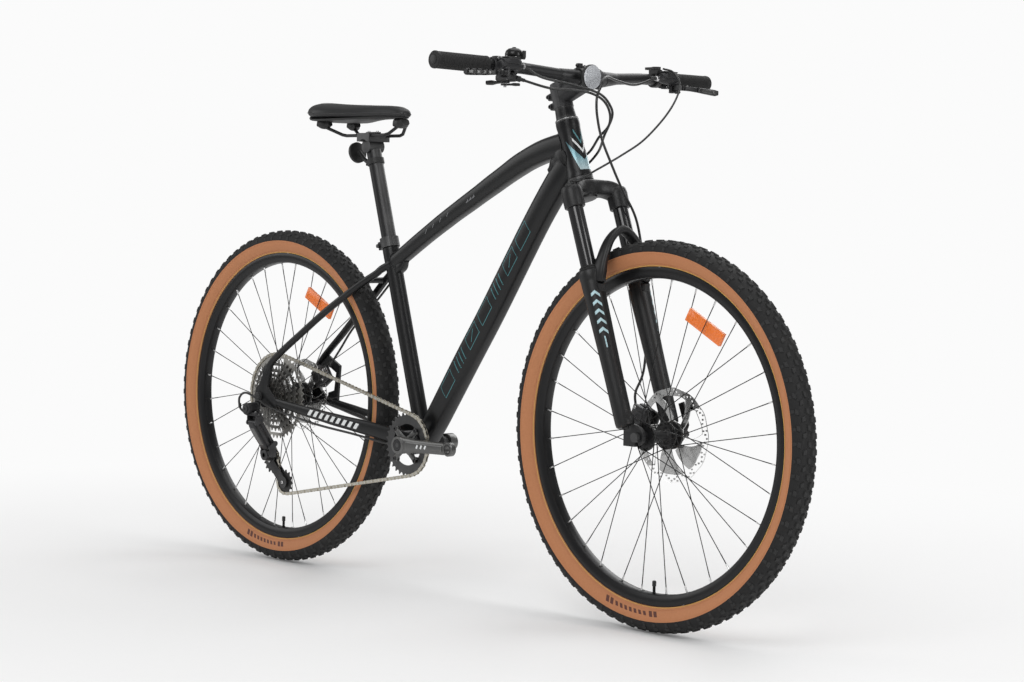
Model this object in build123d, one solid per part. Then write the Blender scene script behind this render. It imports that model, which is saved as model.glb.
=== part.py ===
from build123d import *
from collections import namedtuple
import math
import os

# Hardtail mountain bike, millimetres.  Modelled with +X forward, +Y to the rider's left, +Z up,
# ground at Z = 0 and the rear hub at X = 0; every node is moved by -WHEELBASE / 2 on export,
# so the origin ends up on the ground midway between the hubs.

# ---------------------------------------------------------------- driving dimensions
WHEELBASE = 1131.0
WHEEL_R = 370.0                 # 29 x 2.2 tyre, inflated; also the height of both hubs
RIM_IN_R, RIM_OUT_R = 296.0, 317.0
SPOKES = 32
BB_X, BB_Z, BB_W = 472.0, 301.0, 73.0
CRANK_L = 170.0
RING_TEETH, RING_Y = 32, -49.0
COGS = [46, 38, 31, 26, 22, 19, 16, 13, 11]
BIG_COG_Y, COG_PITCH = -26.0, 4.34
CHAIN_PITCH = 12.7
PULLEY_TEETH = 13
HANGER_PIVOT = (-10.0, 342.0)   # derailleur bolt (x, z)
CAGE_PIVOT = (-2.0, 238.0)
GUIDE_START = (-14.0, 224.0)    # pulleys before the cage turns about CAGE_PIVOT
TENSION_START = (32.0, 178.0)
HEAD_ANGLE, HEAD_X, HEAD_Z = 70.4, 869.5, 965.0
STANCHION_R, STANCHION_Y, STANCHION_AHEAD = 15.0, 62.0, 28.0
SEAT_ANGLE = 73.05
SEAT_TUBE_R, POST_R = 17.45, 15.8
BAR_X, BAR_Z = 928.0, 1046.0    # bar centre at the stem
BAR_R_MID, BAR_R_END = 15.9, 11.1
ROTOR_F_R, ROTOR_R_R, ROTOR_T = 90.0, 80.0, 1.8
ROTOR_F_Y, ROTOR_R_Y = 41.0, 52.0
HUB_F_W, HUB_R_W = 100.0, 135.0     # between the inner faces of the dropouts
DROP_F_Y, DROP_R_Y = 58.0, 75.0     # outer faces of the dropouts
AXLE_F_R, AXLE_R_R = 4.45, 4.95
SLOT_PLAY = 0.1                     # dropout slot radius over the axle radius

HEAD_COS, HEAD_SIN = math.cos(math.radians(HEAD_ANGLE)), math.sin(math.radians(HEAD_ANGLE))
SEAT_COS, SEAT_SIN = math.cos(math.radians(SEAT_ANGLE)), math.sin(math.radians(SEAT_ANGLE))
FROM_BASE = (Align.CENTER, Align.CENTER, Align.MIN)
Y_DIR = Vector(0, 1, 0)

nodes = {}


# ---------------------------------------------------------------- helpers
def put(name, *shapes):
    nodes.setdefault(name, []).extend(shapes)


def on_steer(up, ahead=0.0, y=0.0):
    """Point `up` the steering axis from the headset top and `ahead` of it."""
    return (HEAD_X - HEAD_COS * up + HEAD_SIN * ahead, y,
            HEAD_Z + HEAD_SIN * up + HEAD_COS * ahead)


def on_seat(up, ahead=0.0, y=0.0):
    """Point `up` the seat tube from the bottom bracket and `ahead` of it."""
    return (BB_X - SEAT_COS * up + SEAT_SIN * ahead, y,
            BB_Z + SEAT_SIN * up + SEAT_COS * ahead)


def heading(degrees):
    """Unit (x, z) direction."""
    return (math.cos(math.radians(degrees)), math.sin(math.radians(degrees)))


def rod(start, end, radius, end_radius=None):
    start, end = Vector(*start), Vector(*end)
    axis = end - start
    if end_radius is None:
        body = Cylinder(radius, axis.length, align=FROM_BASE)
    else:
        body = Cone(radius, end_radius, axis.length, align=FROM_BASE)
    return Plane(origin=start, z_dir=axis) * body


def rod_x(centre, x0, x1, radius):
    return rod((x0, centre.Y, centre.Z), (x1, centre.Y, centre.Z), radius)


def rod_y(x, z, y0, y1, radius):
    return rod((x, y0, z), (x, y1, z), radius)


def rod_z(centre, low, high, radius):
    return rod(centre + Vector(0, 0, low), centre + Vector(0, 0, high), radius)


def ring_y(x, z, y0, y1, outer, inner):
    return rod_y(x, z, y0, y1, outer) - rod_y(x, z, y0, y1, inner)


def sleeve(place, low, high, outer, inner):
    """Bored rod between two stations of on_steer, on_seat or bar_at."""
    return rod(place(low), place(high), outer) - rod(place(low - 1), place(high + 1), inner)


def plate_y(sketch, y0, y1):
    """A sketch drawn in (x, z), filled from y0 to y1."""
    return extrude(Plane.XZ.offset(-y1) * sketch, amount=y1 - y0)


def outline(*pts):
    """Closed outline, always turned counter-clockwise so that it extrudes the stated way."""
    area = sum(a[0] * b[1] - b[0] * a[1] for a, b in zip(pts, pts[1:] + pts[:1]))
    return Polygon(*(pts if area > 0 else pts[::-1]), align=None)


def turn_y(pts, x, z):
    """Closed (radius, y) outline turned about a Y axis through (x, z)."""
    face = make_face(Polyline(*pts, close=True).edges())
    return Pos(x, 0, z) * revolve(face, Axis.Y, 360)


def box_at(point, length, width, height):
    return Pos(point.X, point.Y, point.Z) * Box(length, width, height)


def polar_box(hub_x, direction, tangential, y_span, radial):
    """Box at a hub, turned to an (x, z) direction; each span is (from, to)."""
    plane = Plane(origin=(hub_x, 0, WHEEL_R), x_dir=(direction[0], 0, direction[1]),
                  z_dir=(0, 1, 0))
    spans = (radial, tangential, y_span)
    return plane * Pos(*[(low + high) / 2 for low, high in spans]) * Box(
        *[high - low for low, high in spans])


def skin(stations):
    """Ruled loft of rounded rectangles: (point, direction, width in y, depth)."""
    faces = []
    for point, direction, width, depth in stations:
        axis = Vector(*direction)
        plane = Plane(origin=point, x_dir=Y_DIR - axis * (direction[1] / axis.length ** 2),
                      z_dir=direction)
        faces.append(plane * RectangleRounded(width, depth, min(width, depth) * 0.45))
    return loft([face.faces()[0] for face in faces], ruled=True)


def along(pts, widths, depths):
    """Stations for skin(), with each section square to the local path direction."""
    out = []
    for i, point in enumerate(pts):
        before, after = pts[max(i - 1, 0)], pts[min(i + 1, len(pts) - 1)]
        direction = tuple(after[j] - before[j] for j in range(3))
        out.append((point, direction, widths[i], depths[i]))
    return out


def mirror_y(shape):
    return mirror(shape, about=Plane.XZ)


def fuse(*items):
    out = items[0]
    for item in items[1:]:
        out = out + item
    return out


def pipe(pts, radius):
    """Round rod through the points, with a ball at each bend."""
    out = rod(pts[0], pts[1], radius)
    for i in range(1, len(pts) - 1):
        out = out + rod(pts[i], pts[i + 1], radius)
        out = out + Pos(*pts[i]) * Sphere(radius)
    return out


def beam(pts, widths, depths, corner):
    """Rounded rectangular bars through the points; one width (in y) and depth per bar."""
    overlap = 1.5
    bars = []
    for i, (width, depth) in enumerate(zip(widths, depths)):
        start, end = Vector(*pts[i]), Vector(*pts[i + 1])
        axis = (end - start).normalized()
        plane = Plane(origin=start - axis * overlap, x_dir=Y_DIR - axis * axis.Y, z_dir=axis)
        bars.append(extrude(plane * RectangleRounded(width, depth, corner),
                            amount=(end - start).length + 2 * overlap))
    return fuse(*bars)


def axle_slot(hub_x, radius, depth, y0, y1):
    """Cutter for a dropout slot, open downwards."""
    slot = Circle(radius).locate(Location((hub_x, WHEEL_R)))
    slot = slot + Pos(hub_x, WHEEL_R - depth / 2) * Rectangle(2 * radius, depth)
    return plate_y(slot, y0, y1)


# ---------------------------------------------------------------- frame
# Centre lines (x, y, z); the stays are the right-hand ones, mirrored to the left.
DOWN_PATH = [(484, 0, 317), (874, 0, 880)]
DOWN_HOLLOW = [(508, 0, 352), (852, 0, 848)]
TOP_MIDDLE = [(458, 0, 731), (608, 0, 813), (754, 0, 886)]
TOP_PATH = [(354, 0, 671), *TOP_MIDDLE, (872, 0, 919)]
TOP_HOLLOW = [(388, 0, 690.5), *TOP_MIDDLE, (842, 0, 910.7)]
CHAIN_STAY_PATH = [(452, -27, 306), (400, -35.2, 315), (260, -53, 333), (100, -66.2, 354),
                   (34, -70.7, 363)]
SEAT_STAY_PATH = [(362, -11, 674), (325, -20, 650), (248, -40, 609), (121, -60, 522),
                  (42, -69.2, 459), (28, -70.9, 434)]
# Plate outlines (x, z)
DROPOUT = [(52, 352), (54, 372), (24, 388), (36, 436), (18, 442), (2, 398), (-15, 382),
           (-17, 350), (-6, 344), (24, 348)]
BRAKE_MOUNT = [(34, 448), (60, 462), (104, 440), (98, 362), (62, 356), (66, 378), (86, 384),
               (92, 424), (60, 440), (30, 420)]
HANGER = [(-22, 356), (-24, 338), (-16, 328), (-4, 328), (4, 336), (2, 356)]
POST_BORE_R = POST_R + 0.05
BOSS_MID, BOSS_HALF_GAP = Vector(635, 0, 534), 32   # bottle cage bosses

down_tube = beam(DOWN_PATH, [46], [50], 14)
top_tube = beam(TOP_PATH, [33, 34.3, 36.7, 40.1], [31, 32.3, 36.2, 43.8], 13)
seat_tube = rod(on_seat(0), on_seat(424), SEAT_TUBE_R)
head_tube = rod(on_steer(-119.9), on_steer(-3.2), 25.0, 22.8)
bb_shell = rod_y(BB_X, BB_Z, -BB_W / 2, BB_W / 2, 21.5)
chain_stay = beam(CHAIN_STAY_PATH, [12, 13.5, 14, 9.0], [34, 33, 26, 16], 4)
seat_stay = pipe(SEAT_STAY_PATH, 7.6)
dropout = plate_y(outline(*DROPOUT), -DROP_R_Y, -HUB_R_W / 2)
dropout = dropout - axle_slot(0, AXLE_R_R + SLOT_PLAY, 40, -76, -66)
seat_stay_bridge = rod((297, -28, 636), (297, 28, 636), 6.5)
brake_mount = plate_y(outline(*BRAKE_MOUNT), 67, 73)
chain_stay_bridge = rod((402, -32, 315), (402, 32, 315), 7)
frame = fuse(seat_tube, down_tube, top_tube, head_tube, bb_shell,
             chain_stay, mirror_y(chain_stay), seat_stay, mirror_y(seat_stay),
             dropout, mirror_y(dropout), seat_stay_bridge, brake_mount, chain_stay_bridge)
# hollow tubes and bores
frame = frame - beam(DOWN_HOLLOW, [41], [45], 11)
frame = frame - beam(TOP_HOLLOW, [28.5, 29.5, 32, 35], [26, 27, 31, 38], 10)
frame = frame - rod(on_seat(40), on_seat(430), POST_BORE_R)
frame = frame - rod(on_steer(-130), on_steer(10), 17.0)
frame = frame - rod_y(BB_X, BB_Z, -60, 60, 17.0)
# two bored bottle cage bosses on the upper face of the down tube
boss_along = Vector(114, 0, 170).normalized()
boss_out = Vector(-boss_along.Z, 0, boss_along.X)
for offset in (-BOSS_HALF_GAP, BOSS_HALF_GAP):
    foot = BOSS_MID + boss_along * offset + boss_out * 18
    frame = frame + rod(foot, foot + boss_out * 10, 6.0)
    frame = frame - rod(foot - boss_out * 2, foot + boss_out * 14, 2.5)
put("frame", frame)

# Headset: (low, high, outer radius) up the steering axis
STEERER_CLEAR_R = 14.36
HEADSET = [(-3.1, 2.6, 23.0), (-15, -3.2, 16.95), (-126, -120, 25.5), (-119.9, -108, 16.95)]
for low, high, outer in HEADSET:
    put("frame_bearings", sleeve(on_steer, low, high, outer, STEERER_CLEAR_R))
# Bottom bracket: (y0, y1, outer radius)
for y0, y1, outer in [(-36.4, 36.4, 16.95), (-40.5, -36.6, 19.5), (36.6, 40.5, 19.5)]:
    put("frame_bearings", ring_y(BB_X, BB_Z, y0, y1, outer, 12.6))


def collar_plane(ahead):
    return Plane(origin=on_seat(435, ahead), x_dir=(0, 1, 0), z_dir=(-SEAT_COS, 0, SEAT_SIN))


# Seat collar with a split ear behind it and a cross bolt
COLLAR_SPLIT = 2.5
collar = sleeve(on_seat, 424.5, 446, 20.2, POST_BORE_R)
ear = collar_plane(-23) * (Box(16, 13, 17) - Box(COLLAR_SPLIT, 30, 30))
collar = (collar + ear) - rod(on_seat(423), on_seat(448), POST_BORE_R)
collar = collar - collar_plane(-24) * Box(COLLAR_SPLIT, 20, 30)
put("seat_collar", collar, rod(on_seat(435, -26, -14), on_seat(435, -26, -8.1), 4.2))

# Derailleur hanger, on the outer face of the right dropout
put("derailleur_hanger",
    plate_y(outline(*HANGER), -79, -DROP_R_Y - 0.1) - rod_y(*HANGER_PIVOT, -90, -60, 5.05))

# ---------------------------------------------------------------- disc brakes
REAR_CALIPER_ANGLE, FRONT_CALIPER_ANGLE = 36, 160


def caliper(name, hub_x, angle, rotor_y, rotor_r, outer_y):
    """Slotted body over the rotor edge, with a pad on each side of the rotor."""
    direction = heading(angle)

    def block(half_length, y0, y1, inward, outward):
        return polar_box(hub_x, direction, (-half_length, half_length), (y0, y1),
                         (rotor_r - inward, rotor_r + outward))

    body = block(20, rotor_y - 14, outer_y, 24, 14)
    pad_slot = block(15, rotor_y - 5, rotor_y + 5, 30, 5)
    rotor_gap = block(30, rotor_y - 2.2, rotor_y + 2.2, 30, 5)
    put(name, body - pad_slot - rotor_gap,
        block(12, rotor_y + 1.2, rotor_y + 4.4, 20, 3),
        block(12, rotor_y - 4.4, rotor_y - 1.2, 20, 3))


def rotor(hub_x, y, radius):
    """Braking band joined to a centre ring by six arms."""
    band_in = radius - 15
    sketch = Circle(radius) - Circle(band_in) + Circle(25)
    for i in range(6):
        sketch = sketch + (Rot(0, 0, i * 60 + 15) * Pos((band_in + 22) / 2, 0)
                           * Rectangle(band_in - 16, 7))
    sketch = sketch - Circle(17.2)
    return plate_y(Pos(hub_x, WHEEL_R) * sketch, y - ROTOR_T / 2, y + ROTOR_T / 2)


caliper("rear_caliper", 0, REAR_CALIPER_ANGLE, ROTOR_R_Y, ROTOR_R_R, 66.5)
caliper("front_caliper", WHEELBASE, FRONT_CALIPER_ANGLE, ROTOR_F_Y, ROTOR_F_R, 56.0)

# ---------------------------------------------------------------- wheels
# Half outlines (radius, y), completed by mirroring about the wheel plane.
TYRE_OUTER = [(318.5, -14.5), (330, -22), (344, -27), (355, -27), (363, -23), (368, -14),
              (WHEEL_R, -5)]
TYRE_INNER = [(318.5, 12), (330, 19.5), (344, 24), (354, 24), (360, 20), (364.5, 12), (366, 4)]
TUBE_OUTER = [(322, -11), (331, -18.5), (344, -23), (354, -23), (359.4, -19), (363.6, -11)]
TUBE_INNER = [(323, 9), (332, 16.5), (344, 21.5), (353, 21.5), (358, 18), (362, 10)]
RIM_HALF = [(RIM_IN_R, -9), (303, -14), (RIM_OUT_R, -15), (RIM_OUT_R, -12.8), (307, -12),
            (304.5, -7)]
SPOKE_STEP = 360 / (SPOKES / 2)         # between neighbours on one flange
SPOKE_LEAN = 67.5                       # from rim end to flange end, about the hub
SPOKE_END_R = 295.3
NIPPLE_L = 12
FLANGE_HALF_T = 1.2
REFLECTOR_ANGLE, REFLECTOR_RADIUS = 62, 238


def both_sides(half):
    return half + [(radius, -y) for radius, y in half[::-1]]


def spoke_set(hub_x, flange_left, flange_right, hole_r):
    """Crossed spokes; heads alternate between the two faces of each flange."""
    for side, flange_y in ((1, flange_left), (-1, flange_right)):
        for k in range(SPOKES // 2):
            turn = 1 if k % 2 else -1
            angle = math.radians(SPOKE_STEP / 4 + SPOKE_STEP * k
                                 + (SPOKE_STEP / 2 if side < 0 else 0))
            hole_angle = angle + math.radians(turn * SPOKE_LEAN)
            head = Vector(hub_x + hole_r * math.cos(hole_angle), flange_y + 3.5 * turn,
                          WHEEL_R + hole_r * math.sin(hole_angle))
            tip = Vector(hub_x + SPOKE_END_R * math.cos(angle), 3.0 * side,
                         WHEEL_R + SPOKE_END_R * math.sin(angle))
            axis = (tip - head).normalized()
            yield rod(head, tip - axis * NIPPLE_L, 1.0)
            yield rod(tip - axis * (NIPPLE_L - 0.1), tip, 1.9)


def hub_outline(left, right, hole_r, rotor_y, bearing_left, bearing_right, bore):
    """(radius, y) outline; left and right are the flange middles."""
    flange_r = hole_r + 4
    return [(12.5, right + FLANGE_HALF_T), (12.5, left - FLANGE_HALF_T),
            (flange_r, left - FLANGE_HALF_T), (flange_r, left + FLANGE_HALF_T),
            (17.0, left + FLANGE_HALF_T), (17.0, rotor_y + 2.6), (11, rotor_y + 2.6),
            (11, bearing_left), (bore, bearing_left), (bore, bearing_right),
            (11, bearing_right), (11, right - FLANGE_HALF_T),
            (flange_r, right - FLANGE_HALF_T), (flange_r, right + FLANGE_HALF_T)]


def wheel(end, x, left, right, hole_r, rotor_y, rotor_r, bearing_left, bearing_right, axle_r):
    z = WHEEL_R
    put(end + "_tyre",
        turn_y(both_sides(TYRE_OUTER) + both_sides(TYRE_INNER), x, z),
        turn_y(both_sides(TUBE_OUTER) + both_sides(TUBE_INNER), x, z))
    valve = rod((x, 0, z - RIM_IN_R + 0.2), (x, 0, z - 272), 3.0, 2.6)
    put(end + "_rim", turn_y(both_sides(RIM_HALF), x, z), valve)
    put(end + "_spokes", *spoke_set(x, left, right, hole_r))
    hub = hub_outline(left, right, hole_r, rotor_y, bearing_left, bearing_right, axle_r + 0.9)
    put(end + "_hub", turn_y(hub, x, z),
        ring_y(x, z, bearing_left - 7, bearing_left, axle_r + 0.85, axle_r + 0.05),
        ring_y(x, z, bearing_right, bearing_right + 7, axle_r + 0.85, axle_r + 0.05))
    put(end + "_rotor", rotor(x, rotor_y, rotor_r))
    # flat block reflector between the two sides of spokes
    cos, sin = heading(REFLECTOR_ANGLE)
    plane = Plane(origin=(x + REFLECTOR_RADIUS * cos, 0, z + REFLECTOR_RADIUS * sin),
                  x_dir=(-sin, 0, cos), z_dir=(0, 1, 0))
    put(end + "_spoke_reflector", plane * Box(98, 26, 8))


wheel("front", WHEELBASE, 22.0, -35.0, 22.5, ROTOR_F_Y, ROTOR_F_R, 45.0, -44.5, AXLE_F_R)
wheel("rear", 0.0, 33.5, -20.5, 23.0, ROTOR_R_Y, ROTOR_R_R, 58.0, -23.9, AXLE_R_R)


def axle(name, x, radius, hub_w, dropout_y):
    """Hollow axle, a lock ring inside each dropout, the skewer and its two end nuts."""
    z, nut, half = WHEEL_R, 8.0, hub_w / 2
    end = dropout_y + nut
    put(name,
        ring_y(x, z, -half - 5, half + 5, radius, 2.6),
        ring_y(x, z, half - 3.8, half - 0.1, 8.0, radius),
        ring_y(x, z, -half + 0.1, -half + 3.8, 8.0, radius),
        rod_y(x, z, -end, end, 2.4),
        ring_y(x, z, -end, -dropout_y - 0.1, 9.0, 2.4),
        ring_y(x, z, dropout_y + 0.1, end - 1, 8.5, 2.4))


axle("rear_axle", 0.0, AXLE_R_R, HUB_R_W, DROP_R_Y)
axle("front_axle", WHEELBASE, AXLE_F_R, HUB_F_W, DROP_F_Y)


def quick_release(name, x, y, offset, direction):
    """Cross barrel with a flat lever bent `offset` outwards, pointing along (x, z) direction."""
    across = Vector(direction[1], 0, -direction[0])
    up = Vector(direction[0], 0, direction[1])
    centre = Vector(x, y, WHEEL_R)
    bore = rod(centre - across * 9, centre + across * 9, 2.05)
    barrel = rod(centre - across * 8, centre + across * 8, 6.0) - bore
    start = centre + up * 4 + Vector(0, 2, 0)
    bend = centre + up * 16 + Vector(0, offset, 0)
    end = centre + up * 62 + Vector(0, offset, 0)
    stations = ((start, bend - start, 10, 5), (bend, up, 11, 4.5), (end, up, 15, 4))
    lever = loft([(Plane(origin=point, x_dir=across, z_dir=axis)
                   * RectangleRounded(width, thick, 1.6)).faces()[0]
                  for point, axis, width, thick in stations], ruled=True)
    put(name, barrel + lever - bore)


quick_release("front_qr_lever", WHEELBASE, 73.0, 13, (-HEAD_COS, HEAD_SIN))
quick_release("rear_qr_lever", 0.0, 90.0, 5, (0.30, 0.954))


# ---------------------------------------------------------------- chain path
def pitch_radius(teeth):
    return CHAIN_PITCH / 2 / math.sin(math.pi / teeth)


# Lengths along the path are in links.  Sense +1 turns clockwise seen from the right side.
Arc = namedtuple("Arc", "start length centre radius sense teeth entry")
Run = namedtuple("Run", "start length begin end")


def tangent(first, second):
    """Straight run leaving one wheel and joining the next."""
    (centre_1, radius_1, sense_1, _), (centre_2, radius_2, sense_2, _) = first, second
    dx, dz = centre_2[0] - centre_1[0], centre_2[1] - centre_1[1]
    tilt = math.asin((sense_1 * radius_1 - sense_2 * radius_2) / math.hypot(dx, dz))
    angle = math.atan2(dz, dx) - tilt
    normal = (-math.sin(angle), math.cos(angle))
    return [(centre[0] + sense * radius * normal[0], centre[1] + sense * radius * normal[1])
            for centre, radius, sense, _ in (first, second)]


def chain_path(turn):
    """Chain segments, total length and pulley centres with the cage turned by `turn`."""
    cos, sin = math.cos(turn), math.sin(turn)

    def turned(point):
        dx, dz = point[0] - CAGE_PIVOT[0], point[1] - CAGE_PIVOT[1]
        return (CAGE_PIVOT[0] + cos * dx - sin * dz, CAGE_PIVOT[1] + sin * dx + cos * dz)

    tension, guide = turned(TENSION_START), turned(GUIDE_START)
    wheels = [(centre, pitch_radius(teeth), sense, teeth) for centre, sense, teeth in (
        ((0.0, WHEEL_R), 1, COGS[0]), ((BB_X, BB_Z), 1, RING_TEETH),
        (tension, 1, PULLEY_TEETH), (guide, -1, PULLEY_TEETH))]
    runs = [tangent(wheels[i], wheels[(i + 1) % 4]) for i in range(4)]
    segments, total = [], 0.0
    for i, (centre, radius, sense, teeth) in enumerate(wheels):
        joined, (begin, end) = runs[i - 1][1], runs[i]
        entry = math.atan2(joined[1] - centre[1], joined[0] - centre[0])
        leave = math.atan2(begin[1] - centre[1], begin[0] - centre[0])
        wrap = (entry - leave) if sense > 0 else (leave - entry)
        wrap %= 2 * math.pi
        length = wrap / (2 * math.pi / teeth)
        segments.append(Arc(total, length, centre, radius, sense, teeth, entry))
        total += length
        length = math.dist(begin, end) / CHAIN_PITCH
        segments.append(Run(total, length, begin, end))
        total += length
    return segments, total, guide, tension


# Turn the cage until the chain is an even whole number of links.
low_turn, high_turn = -0.12, 0.12
target = 2 * round(chain_path(0.0)[1] / 2)
low_error = chain_path(low_turn)[1] - target
for _ in range(60):
    mid_turn = (low_turn + high_turn) / 2
    error = chain_path(mid_turn)[1] - target
    if (error > 0) == (low_error > 0):
        low_turn, low_error = mid_turn, error
    else:
        high_turn = mid_turn
segments, total, guide, tension = chain_path((low_turn + high_turn) / 2)


def run_share(run, place):
    """0 to 1 along a run, leaving two links in line with the teeth at each end."""
    lead = 2.0
    return min(max((place - run.start - lead) / (run.length - 2 * lead), 0), 1)


def chain_y(place):
    """On the biggest cog and pulleys at BIG_COG_Y, on the chainring at RING_Y."""
    upper_run, ring_arc, lower_run = segments[1:4]
    if place < ring_arc.start + ring_arc.length:
        return BIG_COG_Y + (RING_Y - BIG_COG_Y) * run_share(upper_run, place)
    return RING_Y + (BIG_COG_Y - RING_Y) * run_share(lower_run, place)


def chain_point(place):
    place %= total
    for seg in segments:
        if seg.start <= place < seg.start + seg.length + 1e-12:
            done = place - seg.start
            if isinstance(seg, Run):
                share = done / seg.length
                x = seg.begin[0] + (seg.end[0] - seg.begin[0]) * share
                z = seg.begin[1] + (seg.end[1] - seg.begin[1]) * share
            else:
                angle = seg.entry - seg.sense * done * 2 * math.pi / seg.teeth
                x = seg.centre[0] + seg.radius * math.cos(angle)
                z = seg.centre[1] + seg.radius * math.sin(angle)
            return Vector(x, chain_y(place), z)


def gap_phase(i):
    """Angle of one roller seated on wheel i of the path."""
    arc = segments[2 * i]
    first = math.ceil(arc.start - 1e-9)
    return arc.entry - arc.sense * (first - arc.start) * 2 * math.pi / arc.teeth


# ---------------------------------------------------------------- chain
def chain_link(inner):
    """Two side plates joined by bored rollers (inner link) or pins (outer link)."""
    half, hole, thick = (1.95, 2.0, 0.75) if inner else (2.95, 1.0, 0.75)
    ends = (-CHAIN_PITCH / 2, CHAIN_PITCH / 2)
    plate = SlotCenterToCenter(CHAIN_PITCH, 8.0)
    for x in ends:
        plate = plate - Pos(x, 0) * Circle(hole)
    out = plate_y(plate, -half, -half + thick) + plate_y(plate, half - thick, half)
    for x in ends:
        if inner:
            out = out + ring_y(x, 0, -half + thick, half - thick, 3.85, 2.0)
        else:
            out = out + rod_y(x, 0, -half - 0.3, half + 0.3, 1.75)
    return out


link_kinds = [chain_link(True), chain_link(False)]
for k in range(round(total)):
    start, end = chain_point(k), chain_point(k + 1)
    axis = (end - start).normalized()
    plane = Plane(origin=(start + end) * 0.5, x_dir=axis,
                  z_dir=axis.cross(Y_DIR - axis * axis.Y))
    put("chain", plane * link_kinds[k % 2])


# ---------------------------------------------------------------- sprockets
ROLLER_SEAT_R = 4.15
TOOTH_T = 1.5


def sprocket(teeth, x, z, y, phase, bore, tip=2.6, windows=0):
    """Toothed plate with tooth gaps at phase + k * 360 / teeth degrees."""
    radius = pitch_radius(teeth)
    pts = []
    for k in range(teeth):
        gap = phase + 2 * math.pi * k / teeth
        for seat_angle in (-80, -40, 0, 40, 80):
            turn = math.radians(seat_angle)
            out = radius - ROLLER_SEAT_R * math.cos(turn)
            side = ROLLER_SEAT_R * math.sin(turn)
            pts.append((out * math.cos(gap) - side * math.sin(gap),
                        out * math.sin(gap) + side * math.cos(gap)))
        tooth = gap + math.pi / teeth
        for side in (-0.9, 0.9):
            pts.append(((radius + tip) * math.cos(tooth) - side * math.sin(tooth),
                        (radius + tip) * math.sin(tooth) + side * math.cos(tooth)))
    sketch = outline(*pts) - Circle(bore)
    for i in range(windows):
        window = Rectangle(radius - 12 - bore - 6, math.pi * radius / windows * 0.9)
        sketch = sketch - (Rot(0, 0, 360 / windows * (i + 0.5))
                           * Pos((radius - 7 + bore + 4) / 2, 0) * window)
    return plate_y(Pos(x, z) * sketch, y - TOOTH_T / 2, y + TOOTH_T / 2)


COG_BORE = 17.5
for i, teeth in enumerate(COGS):
    y = BIG_COG_Y - COG_PITCH * i
    put("cassette", sprocket(teeth, 0, WHEEL_R, y, gap_phase(0), COG_BORE,
                             windows=6 if teeth > 24 else 0))
    if i:
        spacer_r = 20.5 if teeth > 13 else 18.5
        put("cassette", ring_y(0, WHEEL_R, y + 0.8, y + COG_PITCH - 0.8, spacer_r, COG_BORE))
put("cassette",     # carrier body and lock ring
    ring_y(0, WHEEL_R, -62.0, -24.6, 17.4, 5.8),
    ring_y(0, WHEEL_R, -63.2, -62.1, 18.6, 6.5))

# Chainring on four bolts
BOLT_CIRCLE_R, BOLT_LUG_R, BOLT_HOLE_R = 44, 8, 4.0
BOLT_ANGLES = [45 + 90 * i for i in range(4)]
BOLT_SPOTS = [(BB_X + BOLT_CIRCLE_R * heading(angle)[0], BB_Z + BOLT_CIRCLE_R * heading(angle)[1])
              for angle in BOLT_ANGLES]
chainring = sprocket(RING_TEETH, BB_X, BB_Z, RING_Y, gap_phase(1), 43.0, tip=2.1)
for x, z in BOLT_SPOTS:
    chainring = chainring + plate_y(Pos(x, z) * Circle(BOLT_LUG_R),
                                    RING_Y - TOOTH_T / 2, RING_Y + TOOTH_T / 2)
for x, z in BOLT_SPOTS:
    chainring = chainring - rod_y(x, z, -60, -40, BOLT_HOLE_R)
put("chainring", chainring)
for x, z in BOLT_SPOTS:
    put("chainring", rod_y(x, z, RING_Y - 6.2, RING_Y + 2.0, BOLT_HOLE_R - 0.05)
        + rod_y(x, z, RING_Y + 2.0, RING_Y + 3.0, 5.5))

# ---------------------------------------------------------------- cranks
SPINDLE_R, SPINDLE_CAP_R = 12.0, 9.0
# (distance from the spindle, distance from the bike's mid plane, share of the end rise)
ARM_PATH = [(2, 68, 0), (40, 71, 0.22), (120, 79, 0.72), (CRANK_L, 84.5, 1)]


def crank_arm(side):
    """Side +1 is the right arm, pointing forward with the spider; -1 the left, pointing back."""
    end_x = BB_X + side * CRANK_L
    rise = 6.0 * side

    def span(near, far):
        return sorted((-side * near, -side * far))

    path = [(BB_X + side * out, -side * y, BB_Z + share * rise) for out, y, share in ARM_PATH]
    arm = skin(along(path, [15, 15, 13, 12], [34, 30, 26, 27]))
    arm = arm + rod_y(BB_X, BB_Z, *span(58, 77), 18.5)
    arm = arm + rod_y(end_x, BB_Z + rise, *span(78, 91), 14)
    if side > 0:
        for angle, (x, z) in zip(BOLT_ANGLES, BOLT_SPOTS):
            leg = Pos(BB_X, BB_Z) * Rot(0, 0, angle) * Pos(28, 0) * Rectangle(40, 13)
            arm = arm + plate_y(leg, -58, -50.0)
            arm = arm + plate_y(Pos(x, z) * Circle(BOLT_LUG_R), -55.0, -50.0)
        for x, z in BOLT_SPOTS:
            arm = arm - rod_y(x, z, -60, -45, BOLT_HOLE_R)
        arm = arm + ring_y(BB_X, BB_Z, -58, -50, 17, 12.1)
    arm = arm - rod_y(end_x, BB_Z + rise, *span(70, 95), 6.9)
    arm = arm - rod_y(BB_X, BB_Z, *span(40, 74), SPINDLE_R + 0.05)
    return arm - rod_y(BB_X, BB_Z, *span(70, 80), SPINDLE_CAP_R + 0.05)


put("crank_arms", crank_arm(1), crank_arm(-1))
put("crank_spindle",
    ring_y(BB_X, BB_Z, -73.5, 73.5, SPINDLE_R, 8.0),
    rod_y(BB_X, BB_Z, -77.5, -73.6, SPINDLE_CAP_R),
    rod_y(BB_X, BB_Z, 73.6, 77.5, SPINDLE_CAP_R))

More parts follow.
